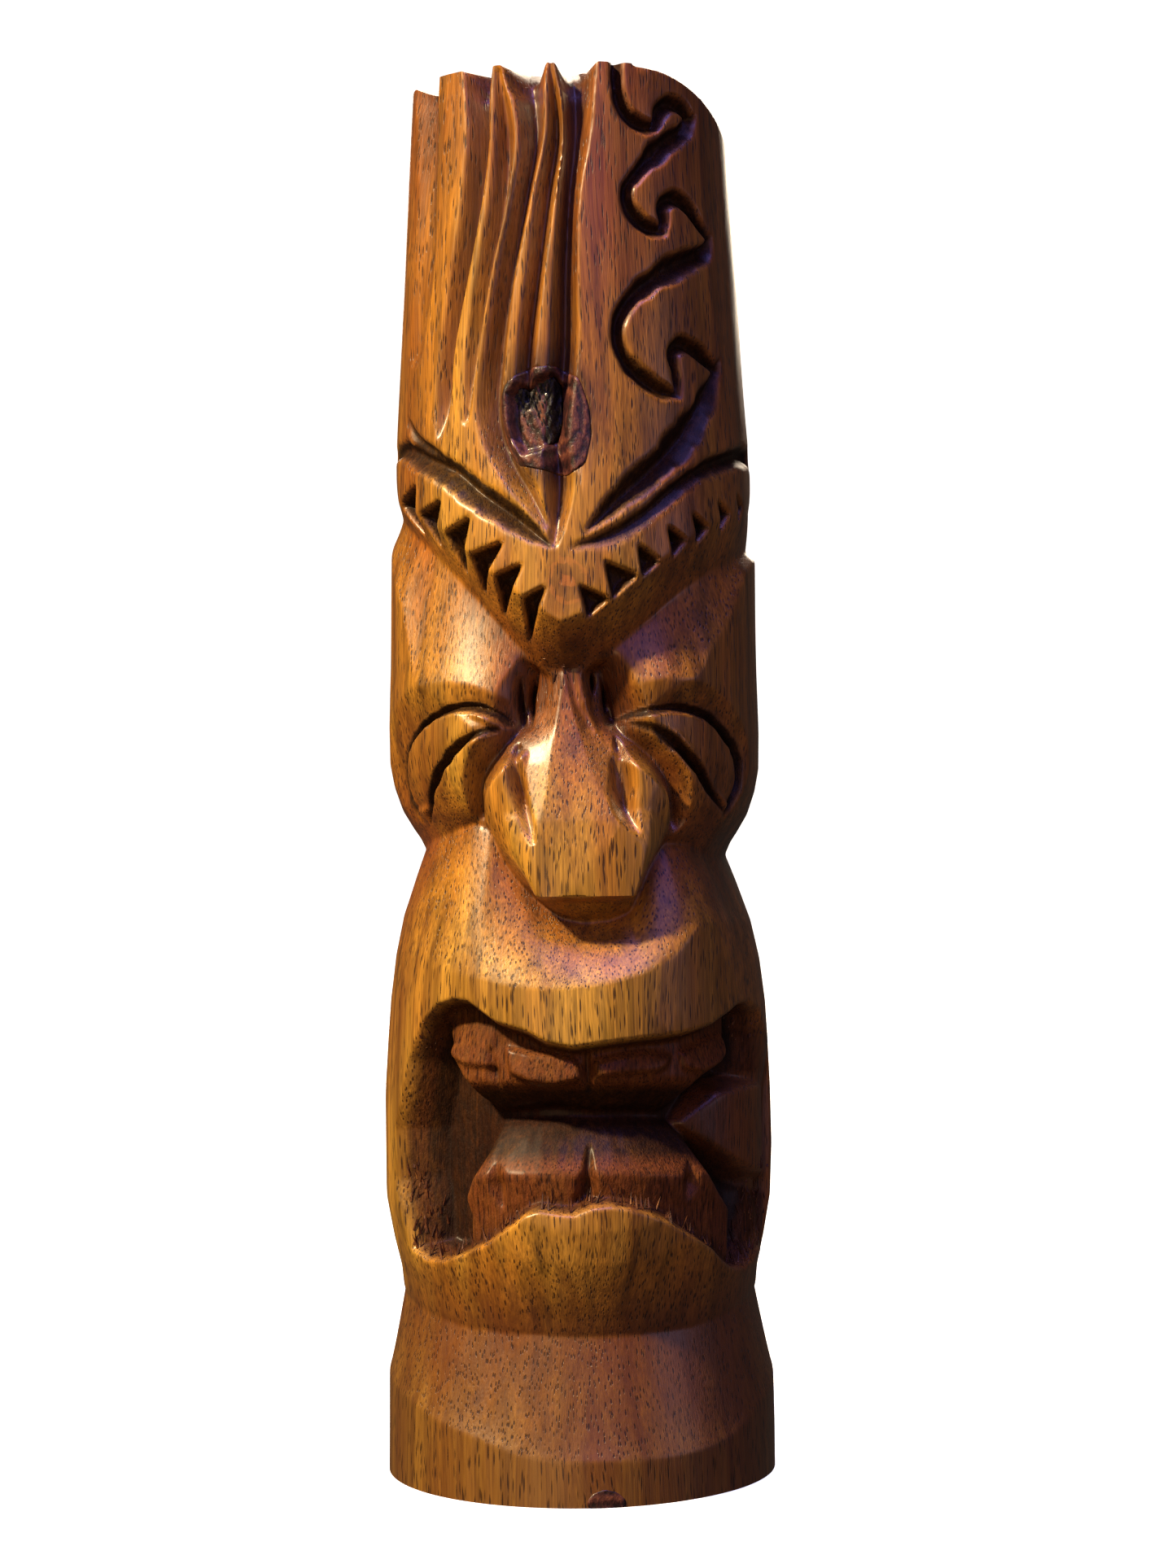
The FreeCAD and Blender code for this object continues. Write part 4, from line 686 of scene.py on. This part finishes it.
def log_piece(r, marks):
    """The carved log: the net closed with a foot and a top, thinned where it is smooth."""
    rows, cols = r.shape
    ring = np.stack([r * np.sin(ANGLE), -r * np.cos(ANGLE), HEIGHT], -1)
    drop = np.clip((crown_radius(TOP) - r[-1]) * 0.9, 0, 4.2) * (np.abs(BEARINGS) < 80) * (BEARINGS < 16)
    fade = smooth((HEIGHT - 296.0) / 9.0)
    ring[..., 2] -= drop * fade
    points = ring.reshape(-1, 3).tolist()
    a = np.arange(rows * cols).reshape(rows, cols)
    b = np.roll(a, -1, axis=1)
    faces = np.stack([a[:-1], b[:-1], b[1:], a[1:]], -1).reshape(-1, 4).tolist()
    for row, z, turn in ((0, 0.0, -1), (rows - 1, TOP, 1)):
        loops = [a[row]]
        for share in (0.72, 0.36):
            loops.append(np.arange(len(points), len(points) + cols))
            points += [(x * share, y * share, z) for x, y, _ in ring[row]]
        for outer, inside in zip(loops, loops[1:]):
            quads = np.stack([outer, np.roll(outer, -1), np.roll(inside, -1), inside], -1)
            faces += quads[:, ::turn].tolist()
        fan = np.stack([loops[-1], np.roll(loops[-1], -1), np.full(cols, len(points))], -1)
        faces += fan[:, ::turn].tolist()
        points.append((0.0, 0.0, z))
    obj = mesh_object("tiki_log", points, faces)
    thin = obj.modifiers.new("thin", "DECIMATE")
    thin.ratio = min(1.0, MOST_TRIANGLES / (2.0 * len(faces)))
    evaluated(obj)
    write_marks(obj, marks)
    obj.data.shade_smooth()
    obj.data.set_sharp_from_angle(angle=math.radians(SHARP_ANGLE))
    return obj


def write_marks(obj, marks):
    """Stores the net's marks on a mesh's points, for its material."""
    co = np.empty(len(obj.data.vertices) * 3)
    obj.data.vertices.foreach_get("co", co)
    co = co.reshape(-1, 3) / MM
    bearing = np.degrees(np.arctan2(co[:, 0], -co[:, 1]))
    for name, field in marks.items():
        values = sample(field, bearing, co[:, 2])
        layer = obj.data.attributes.new(name, "FLOAT", "POINT")
        layer.data.foreach_set("value", values.astype(np.float32))


def patch_piece(name, outline, skin, thickness, rings=14, steps=96):
    """A plug whose face follows the net inside an outline, closed behind."""
    cb = sum(b for b, _ in outline) / len(outline)
    cz = sum(z for _, z in outline) / len(outline)
    closed = np.array([*outline, outline[0]], float)
    length = np.concatenate([[0], np.cumsum(np.hypot(*np.diff(closed, axis=0).T))])
    t = np.linspace(0, length[-1], steps, endpoint=False)
    edge = np.stack([np.interp(t, length, closed[:, k]) for k in (0, 1)], 1)
    edge = sum(np.roll(edge, k, axis=0) for k in (-2, -1, 0, 1, 2)) / 5
    points, faces = [], []
    for lift in (0.0, -thickness):
        for n in range(1, rings + 1):
            share = n / rings
            b = cb + (edge[:, 0] - cb) * share
            z = cz + (edge[:, 1] - cz) * share
            r = skin(b, z) + lift
            points += np.stack([r * np.sin(np.radians(b)), -r * np.cos(np.radians(b)), z], 1).tolist()
        r = skin(np.array([cb]), np.array([cz]))[0] + lift
        points.append((r * math.sin(math.radians(cb)), -r * math.cos(math.radians(cb)), cz))
    block = rings * steps + 1
    for side in (0, 1):
        base = side * block
        for n in range(rings - 1):
            for k in range(steps):
                quad = [base + n * steps + k, base + n * steps + (k + 1) % steps,
                        base + (n + 1) * steps + (k + 1) % steps, base + (n + 1) * steps + k]
                faces.append(quad if side else quad[::-1])
        for k in range(steps):
            tri = [base + block - 1, base + k, base + (k + 1) % steps]
            faces.append(tri[::-1] if side else tri)
    outer, inner = (rings - 1) * steps, block + (rings - 1) * steps
    for k in range(steps):
        faces.append([outer + k, outer + (k + 1) % steps, inner + (k + 1) % steps, inner + k])
    obj = mesh_object(name, points, faces)
    bm = bmesh.new()
    bm.from_mesh(obj.data)
    bmesh.ops.recalc_face_normals(bm, faces=bm.faces)
    bm.to_mesh(obj.data)
    bm.free()
    return obj


# ---------------------------------------------------------------- materials


def linear(code):
    """An sRGB hex colour as linear red, green, blue and alpha."""
    parts = [int(code[i : i + 2], 16) / 255.0 for i in (1, 3, 5)]
    return tuple(c / 12.92 if c <= 0.04045 else ((c + 0.055) / 1.055) ** 2.4 for c in parts) + (1.0,)


def feed(tree, made, links):
    """Sets a node's inputs, in order or by name: each a value, a hex colour, a node or a node's output."""
    for key, value in links.items() if isinstance(links, dict) else enumerate(links):
        if isinstance(value, bpy.types.Node):
            value = value.outputs[0]
        if isinstance(value, bpy.types.NodeSocket):
            tree.links.new(value, made.inputs[key])
        else:
            made.inputs[key].default_value = linear(value) if str(value).startswith("#") else value


def node(tree, kind, links=(), stops=(), **settings):
    """Adds a node with its settings and inputs. stops are a colour ramp's: (place, hex colour or grey)."""
    made = tree.nodes.new(kind)
    for key, value in settings.items():
        setattr(made, key, value)
    feed(tree, made, links)
    for _ in stops[2:]:
        made.color_ramp.elements.new(1.0)
    for element, (place, colour) in zip(made.color_ramp.elements if stops else (), stops):
        element.position = place
        element.color = linear(colour) if isinstance(colour, str) else (colour, colour, colour, 1.0)
    return made


def layered(tree, colour, *layers):
    """Lays colours over a base: each layer is (mask, strength, colour, blend mode)."""
    for mask, strength, over, mode in layers:
        share = node(tree, "ShaderNodeMath", [mask, strength], operation="MULTIPLY")
        mixed = {0: share, 6: colour, 7: over}
        colour = node(tree, "ShaderNodeMix", mixed, data_type="RGBA", blend_type=mode).outputs[2]
    return colour


def stretched(tree, place, across, high):
    """Coordinates in cells of so many millimetres across the grain and so many along it."""
    scale = (1000.0 / across, 1000.0 / across, 1000.0 / high)
    return node(tree, "ShaderNodeVectorMath", [place, scale], operation="MULTIPLY")


def mottle(tree, place, across, high, detail=3.0, rough=0.55):
    """Soft patches of about so many millimetres across the grain and along it, from 0 to 1."""
    cells = {"Vector": stretched(tree, place, across, high), "Scale": 1.0}
    return node(tree, "ShaderNodeTexNoise", {**cells, "Detail": detail, "Roughness": rough})


def log_place(tree):
    """The log's own coordinates."""
    return node(tree, "ShaderNodeTexCoord").outputs["Object"]


def grain_place(tree, place):
    """The wood's coordinates: the log's, bent a little as the fibres wander."""
    wander = mottle(tree, place, 26, 90, 2.0, 0.5).outputs["Color"]
    centred = node(tree, "ShaderNodeVectorMath", [wander, (0.5, 0.5, 0.5)], operation="SUBTRACT")
    small = node(tree, "ShaderNodeVectorMath", [centred, (0.009, 0.009, 0.0)], operation="MULTIPLY")
    return node(tree, "ShaderNodeVectorMath", [place, small], operation="ADD")


def pores(tree, place, offset):
    """Open pores: fine tubes along the grain, dashes on a face along it and dots on one across it."""
    moved = node(tree, "ShaderNodeVectorMath", [place, offset], operation="ADD")
    tubes = stretched(tree, moved, 0.80, 9.0)
    cells = node(tree, "ShaderNodeTexVoronoi", {"Vector": tubes, "Scale": 1.0}, feature="F1")
    return node(tree, "ShaderNodeValToRGB", [cells], [(0.13, 1.0), (0.23, 0.0)])


def around(tree, place, centre, squash):
    """Distance from a point in millimetres, with the height squashed."""
    gap = node(tree, "ShaderNodeVectorMath", [place, tuple(c * MM for c in centre)], operation="SUBTRACT")
    to_mm = (1000.0, 1000.0, 1000.0 * squash)
    scaled = node(tree, "ShaderNodeVectorMath", [gap, to_mm], operation="MULTIPLY")
    return node(tree, "ShaderNodeVectorMath", [scaled], operation="LENGTH").outputs["Value"]


def shader(name):
    """A new material with an empty tree but for its shader: (material, tree, shader node)."""
    made = bpy.data.materials.new(name)
    made.use_nodes = True
    tree = made.node_tree
    tree.nodes.clear()
    surface = node(tree, "ShaderNodeBsdfPrincipled")
    node(tree, "ShaderNodeOutputMaterial", [surface])
    return made, tree, surface


def oiled_monkeypod():
    """Monkeypod, carved green, oiled and lacquered: golden outer wood, redder and darker towards the heart.

    It is diffuse wood under a clear gloss coat. Its coarse pores are open, and stain fills the rough cuts;
    its near black there is partly painted shade, and painted shade darkens every hollow by its depth.
    """
    made, tree, surface = shader("oiled_monkeypod")
    add = partial(node, tree)
    place = log_place(tree)
    grain = grain_place(tree, place)
    fibre = mottle(tree, grain, 0.42, 26, 2)

    # Growth: the log's heart lies a little behind and to the right of its axis.
    split = add("ShaderNodeSeparateXYZ", [grain])
    x = add("ShaderNodeMath", [split.outputs[0], -0.004], operation="ADD")
    y = add("ShaderNodeMath", [split.outputs[1], -0.006], operation="ADD")
    level = add("ShaderNodeCombineXYZ", [x, y, 0.0])
    reach = add("ShaderNodeVectorMath", [level], operation="LENGTH").outputs["Value"]
    depth = add("ShaderNodeMath", [mottle(tree, grain, 9, 120), 0.018, reach], operation="MULTIPLY_ADD")
    tone = add("ShaderNodeMapRange", [depth, 0.034, 0.060])
    rings = [(0.0, "#54290E"), (0.30, "#764019"), (0.55, "#9A5E1E"), (0.78, "#B47C26"), (1.0, "#C99A38")]
    fine_streaks = mottle(tree, grain, 2.6, 260, 4.0, 0.6)
    streak = add("ShaderNodeValToRGB", [fine_streaks], [(0.30, 0.35), (0.48, 0.92), (0.70, 1.30)])
    broad_bars = mottle(tree, grain, 4.2, 170, 2)
    bars = add("ShaderNodeValToRGB", [broad_bars], [(0.32, 0.50), (0.50, 1.0), (0.70, 1.22)])
    red = add("ShaderNodeValToRGB", [mottle(tree, place, 22, 40)], [(0.45, 0.0), (0.75, 0.5)])

    # The small live knot at the tip of the brow, and the dark wood round the dead one.
    brow = around(tree, place, BROW_KNOT_AT, 0.9)
    warped = add("ShaderNodeMath", [mottle(tree, place, 3, 3), 5.0, brow], operation="MULTIPLY_ADD")
    turns = add("ShaderNodeMath", [warped, 2.1], operation="MULTIPLY")
    wave = add("ShaderNodeMath", [turns], operation="SINE")
    bands = add("ShaderNodeValToRGB", [wave], [(0.2, "#3E1A12"), (0.8, "#B0622C")])
    near = add("ShaderNodeMapRange", [warped, 10.0, 4.0])
    crown_knot = around(tree, place, CROWN_KNOT_AT, 0.8)
    halo = add("ShaderNodeMath", [mottle(tree, place, 4, 6), 5.0, crown_knot], operation="MULTIPLY_ADD")
    share = add("ShaderNodeMath", [halo, 30.0], operation="DIVIDE")
    halo = add("ShaderNodeValToRGB", [share], [(0.40, 0.75), (0.56, 0.0)])

    # Stain in the cuts, blackest inside the mouth. Its near black is partly real stain and partly painted
    # shade in the cuts.
    names = ("cut", "recess_shade", "torn", "mouth")
    cut, recess_shade, torn, mouth = (add("ShaderNodeAttribute", attribute_name=m).outputs["Fac"] for m in names)
    patchy = add("ShaderNodeValToRGB", [mottle(tree, place, 1.3, 3.0, 4, 0.7)], [(0.28, 0.82), (0.62, 1.0)])
    stain = add("ShaderNodeMath", [cut, patchy], operation="MULTIPLY")
    # Painted shade: inside the cuts the stain is painted darker the deeper they lie.
    pit = add("ShaderNodeValToRGB", [recess_shade], [(0.72, "#6A3818"), (0.98, "#1A0A04")])
    fine = add("ShaderNodeValToRGB", [fibre], [(0.30, 0.35), (0.70, 1.5)])
    pit = layered(tree, pit, (1.0, 0.8, fine, "MULTIPLY"))
    # Stain and painted shade together: near black in the cut marks, and the depth-darkened colour inside the
    # mouth.
    stain_and_shade_colour = layered(tree, "#150803", (mouth, 1.0, pit, "MIX"))
    uncut = add("ShaderNodeMath", [1.0, cut], operation="SUBTRACT")
    # Painted shade on the uncut hollows, such as flutes, lids and eyes: darker the deeper they lie.
    bare_recess_shade = add("ShaderNodeMath", [recess_shade, uncut], operation="MULTIPLY")
    low = add("ShaderNodeMapRange", [split.outputs[2], 0.050, 0.036])

    # Three sets of pores, each shifted so that they don't fall together.
    open_pores = pores(tree, grain, (0.0, 0.0, 0.0))
    for offset in ((0.0131, 0.0177, 0.0233), (0.0311, 0.0077, 0.0533)):
        open_pores = add("ShaderNodeMath", [open_pores, pores(tree, grain, offset)], operation="MAXIMUM")
    colour = layered(
        tree,
        add("ShaderNodeValToRGB", [tone], rings),
        (1.0, 0.85, streak, "MULTIPLY"),
        (1.0, 0.8, bars, "MULTIPLY"),
        (1.0, 0.9, add("ShaderNodeValToRGB", [fibre], [(0.25, 0.45), (0.75, 1.50)]), "MULTIPLY"),
        (red, 1.0, "#7A2E12", "MIX"),
        (near, 0.55, bands, "MIX"),
        (halo, 1.0, "#3A1A12", "MIX"),
        # stain in the cuts, partly painted shade
        (stain, 0.96, stain_and_shade_colour, "MIX"),
        # painted shade in the uncut hollows
        (bare_recess_shade, 0.72, "#341606", "MIX"),
        (torn, 0.6, "#3A1A0E", "MIX"),
        (low, 0.70, "#5A3018", "MIX"),
        (open_pores, 0.88, "#2A1208", "MIX"),
    )

    lumps = add("ShaderNodeMath", [mottle(tree, place, 0.8, 1.6, 4, 0.7), cut], operation="MULTIPLY")
    fuzz = add("ShaderNodeMath", [fibre, 0.35], operation="MULTIPLY")
    height = add("ShaderNodeMath", [open_pores, -0.5, fuzz], operation="MULTIPLY_ADD")
    height = add("ShaderNodeMath", [lumps, 1.6, height], operation="MULTIPLY_ADD")
    sheen = add("ShaderNodeValToRGB", [mottle(tree, grain, 2.0, 14)], [(0.3, 0.34), (0.7, 0.50)])
    feed(tree, surface, {
        "Base Color": colour,
        "Normal": add("ShaderNodeBump", {"Strength": 0.5, "Distance": 0.0006, "Height": height}),
        "Roughness": add("ShaderNodeMath", [cut, 0.22, sheen], operation="MULTIPLY_ADD"),
        "Specular IOR Level": add("ShaderNodeMath", [cut, -0.32, 0.5], operation="MULTIPLY_ADD"),
        "IOR": 1.5,
        "Coat Weight": add("ShaderNodeMath", [cut, -0.45, 0.65], operation="MULTIPLY_ADD"),
        "Coat Roughness": 0.30,
    })
    return made


def torn_wood():
    """Torn monkeypod fibre: dull, unstained at its ends and brown below."""
    made, tree, surface = shader("torn_wood")
    tone = mottle(tree, log_place(tree), 2.0, 3.0)
    browns = [(0.35, "#2A1208"), (0.55, "#5E3216"), (0.75, "#96642C")]
    feed(tree, surface, {"Base Color": node(tree, "ShaderNodeValToRGB", [tone], browns), "Roughness": 0.6})
    return made


def dead_knot():
    """Dead, decayed branch wood: near black, crazed, yellow-brown along its cracks, barely lacquered. Its
    near black is also painted shade, for the depth of the knot's hole.
    """
    made, tree, surface = shader("dead_knot")
    place = log_place(tree)
    crazed = stretched(tree, place, 2.2, 3.6)
    cells = node(tree, "ShaderNodeTexVoronoi", {"Vector": crazed, "Scale": 1.0}, feature="F1")
    mottled = mottle(tree, place, 1.8, 3.4, 5, 0.7)
    tone = node(tree, "ShaderNodeMath", [cells, -0.25, mottled], operation="MULTIPLY_ADD")
    # Near black: partly the dead wood's own colour and partly painted shade of the knot's hole.
    black_to_brown = [(0.40, "#040202"), (0.60, "#0E0604"), (0.72, "#3A200C"), (0.84, "#6A4218")]
    feed(tree, surface, {
        "Base Color": node(tree, "ShaderNodeValToRGB", [tone], black_to_brown),
        "Normal": node(tree, "ShaderNodeBump", {"Strength": 0.9, "Distance": 0.001, "Height": tone}),
        "Roughness": 0.45,
        "Coat Weight": 0.3,
    })
    return made


def ingrown_bark():
    """Bark that the trunk closed over: purple-brown, finely layered round the knot, under the same gloss."""
    made, tree, surface = shader("ingrown_bark")
    place = log_place(tree)
    ring = node(tree, "ShaderNodeMath", [around(tree, place, CROWN_KNOT_AT, 0.8), 2.6], operation="MULTIPLY")
    bent = mottle(tree, place, 3.0, 4.0, 4, 0.65)
    layers = node(tree, "ShaderNodeMath", [bent, 9.0, ring], operation="MULTIPLY_ADD")
    wave = node(tree, "ShaderNodeMath", [layers], operation="SINE")
    mottled = mottle(tree, place, 1.1, 1.6, 4, 0.7)
    tone = node(tree, "ShaderNodeMath", [wave, 0.14, mottled], operation="MULTIPLY_ADD")
    purple_to_brown = [(0.30, "#1C0C0A"), (0.50, "#4A2620"), (0.66, "#6E3F30"), (0.80, "#8A5534")]
    feed(tree, surface, {
        "Base Color": node(tree, "ShaderNodeValToRGB", [tone], purple_to_brown),
        "Normal": node(tree, "ShaderNodeBump", {"Strength": 0.6, "Distance": 0.0005, "Height": tone}),
        "Roughness": 0.42,
        "Coat Weight": 0.5,
        "Coat Roughness": 0.22,
    })
    return made


def pale_floor():
    """White acrylic, lit a little from below, as on a light table: it stays pale with hardly a shadow."""
    made, tree, surface = shader("pale_floor")
    look = {"Base Color": "#F4F3F1", "Roughness": 0.8, "Emission Color": "#FFFFFF", "Emission Strength": 0.9}
    feed(tree, surface, look)
    return made


# ---------------------------------------------------------------- pieces


def finish_piece(obj, material, slot, *nodes):
    """Gives a piece its finish and its place in the frame."""
    obj.data.materials.clear()
    obj.data.materials.append(material)
    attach(obj, "root")
    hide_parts(*nodes)


def splinter_tree():
    """A node tree that stands short splinters along the grain wherever a mesh is marked as splintered."""
    tree = bpy.data.node_groups.new("splinters", "GeometryNodeTree")
    add = partial(node, tree)
    kinds = {"Geometry": "Geometry", "Density": "Float", "Length": "Float", "Seed": "Int"}
    for name, kind in {**kinds, "Material": "Material"}.items():
        tree.interface.new_socket(name=name, in_out="INPUT", socket_type="NodeSocket" + kind)
    tree.interface.new_socket(name="Geometry", in_out="OUTPUT", socket_type="NodeSocketGeometry")
    given = add("NodeGroupInput").outputs
    seed = given["Seed"]
    marked = add("GeometryNodeInputNamedAttribute", {"Name": "splintered"}, data_type="FLOAT")
    density = add("ShaderNodeMath", [given["Density"], marked], operation="MULTIPLY")
    ground = {"Mesh": given["Geometry"], "Density": density, "Seed": seed}
    spread = add("GeometryNodeDistributePointsOnFaces", ground)
    sizes = {"Vertices": 4, "Radius Top": 0.00003, "Radius Bottom": 0.00022, "Depth": given["Length"]}
    splinter = add("GeometryNodeMeshCone", sizes)
    bounds = {0: (-0.35, -0.35, 0.0), 1: (0.35, 0.35, 6.28), "Seed": seed}
    lean = add("FunctionNodeRandomValue", bounds, data_type="FLOAT_VECTOR")
    size = add("FunctionNodeRandomValue", {2: 0.4, 3: 1.5, "Seed": seed}, data_type="FLOAT").outputs[1]
    stand = {"Points": spread, "Instance": splinter, "Rotation": lean, "Scale": size}
    real = add("GeometryNodeRealizeInstances", [add("GeometryNodeInstanceOnPoints", stand)])
    finished = add("GeometryNodeSetMaterial", {"Geometry": real, "Material": given["Material"]})
    add("NodeGroupOutput", [finished])
    return tree


def splinter_piece(log, material):
    """Torn fibres along the mouth's rough lips and at the tip of the brow."""
    obj = placed("torn_fibres", log.data.copy())
    modifier = obj.modifiers.new("splinters", "NODES")
    modifier.node_group = splinter_tree()
    settings = {"Density": 450000.0, "Length": 0.0022, "Seed": 7, "Material": material}
    for socket in modifier.node_group.interface.items_tree:
        if socket.in_out == "INPUT" and socket.name in settings:
            modifier[socket.identifier] = settings[socket.name]
    return evaluated(obj)


def build_figure():
    """The log, its dead knot, the bark round it and the knot at the foot."""
    r, marks = carve()
    bark_inside = inside_outline(BARK_EDGE, KNOT_RADIUS)
    core_inside = inside_outline(CORE_EDGE, KNOT_RADIUS)
    socket = 1.4 * smooth((bark_inside - 0.1) / 0.6) + (KNOT_SINK + 1.5) * smooth((core_inside + 0.8) / 0.8)
    log = log_piece(r - socket, marks)
    wood = oiled_monkeypod()
    finish_piece(log, wood, "log_wood", "carved_log")
    fibres = splinter_piece(log, torn_wood())
    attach(fibres, "root")

    def bark_skin(b, z):
        core = inside_outline(CORE_EDGE, KNOT_RADIUS, b, z)
        sink = KNOT_SINK * 0.75 * smooth((core + 0.9) / 1.4)
        return sample(r, b, z) + 0.05 + 0.12 * np.sin(b * 1.3 + z * 0.9) * (core > -1.5) - sink

    bark = patch_piece("crown_bark_ring", BARK_EDGE, bark_skin, 3.0, rings=22, steps=150)
    finish_piece(bark, ingrown_bark(), "knot_bark", "crown_knot_bark")

    def core_skin(b, z):
        rough = 0.5 * np.sin(b * 2.3 + 1.0) * np.sin(z * 1.7) + 0.35 * np.sin(b * 5.1 + z * 2.9)
        return np.minimum(sample(r, b, z) - 0.8, crown_radius(230.0) - KNOT_SINK + 1.0) + rough * 0.6

    core = patch_piece("crown_dead_knot", CORE_EDGE, core_skin, 2.5, rings=18, steps=110)
    finish_piece(core, dead_knot(), "knot_wood", "crown_knot")

    foot = [(1.6, 0.0), (1.4, 1.4), (3.0, 3.0), (6.5, 3.9), (10.0, 3.2), (12.4, 1.6), (12.6, 0.0)]
    spot = patch_piece("foot_dead_knot", foot, lambda b, z: sample(r, b, z) + 0.1, 2.0, rings=8, steps=60)
    finish_piece(spot, ingrown_bark(), "foot_knot_wood", "base_knot")


def build_stage():
    """A pale floor that curves up all round into a pale wall, so that every side is seen against it."""
    flat, bend, wall_top = 1.6, 0.5, 4.0
    quarter = np.linspace(0.0, math.pi / 2, 10)
    curve = [(flat + bend * math.sin(a), bend - bend * math.cos(a)) for a in quarter]
    rings = [(0.5, 0.0), *curve, (flat + bend, wall_top)]
    turns = 72
    points = [(0.0, 0.0, 0.0)]
    for reach, z in rings:
        round_once = np.linspace(0, 2 * math.pi, turns, endpoint=False)
        points += [(reach * math.cos(a), reach * math.sin(a), z) for a in round_once]
    faces = [(0, 1 + k, 1 + (k + 1) % turns) for k in range(turns)]
    for n in range(len(rings) - 1):
        near, far = 1 + n * turns, 1 + (n + 1) * turns
        faces += [(near + k, far + k, far + (k + 1) % turns, near + (k + 1) % turns) for k in range(turns)]
    floor = mesh_object("floor", np.array(points) / MM, faces)
    floor.data.materials.append(pale_floor())
    floor.visible_diffuse = False
    floor.visible_glossy = False
    floor.visible_shadow = False


def lamp(name, place, target, size, power, colour):
    """A soft square light that faces a point."""
    light = bpy.data.lights.new(name, "AREA")
    light.size, light.energy, light.color = size, power, linear(colour)[:3]
    obj = placed(name, light)
    obj.location = place
    obj.rotation_euler = (Vector(target) - Vector(place)).to_track_quat("-Z", "Y").to_euler()
    obj.visible_camera = False


def build_light():
    """A warm sun from the upper left, cool sky above and in front, a soft lamp behind, and a dim surround."""
    middle = (0.0, 0.0, 0.16)
    lamp("sun", (-1.02, -0.69, 1.26), middle, 0.12, 50.0, "#FFDFAE")
    lamp("sky", (0.10, -0.45, 1.35), middle, 0.7, 7.0, "#9089FF")
    lamp("front_sky", (0.25, -1.20, 0.90), middle, 0.8, 1.7, "#8A80FF")
    lamp("bounce", (-0.35, -1.10, 0.03), middle, 0.6, 1.8, "#FFC890")
    lamp("behind", (0.10, 1.40, 0.90), middle, 0.9, 22.0, "#FFE8CC")
    lamp("right_fill", (1.1, -0.7, 0.3), middle, 0.5, 1.1, "#C8B4D8")
    world = bpy.data.worlds.new("surround")
    world.use_nodes = True
    feed(world.node_tree, world.node_tree.nodes["Background"], ["#E8D8C8", 0.05])
    bpy.context.scene.world = world


def build_camera():
    """The camera stands 0.68 m in front, level with the figure's middle, rolled by 0.62 degrees."""
    data = bpy.data.cameras.new("camera")
    data.sensor_fit = "VERTICAL"
    data.sensor_height = 36.0
    data.lens = 69.93
    data.clip_start = 0.05
    camera = placed("camera", data)
    camera.location = (0.0029, -0.680, 0.1516)
    camera.rotation_euler = (math.radians(90.0), math.radians(0.62), 0.0)
    bpy.context.scene.camera = camera


bpy.context.scene.view_settings.view_transform = "Standard"
build_figure()
build_stage()
build_light()
build_camera()
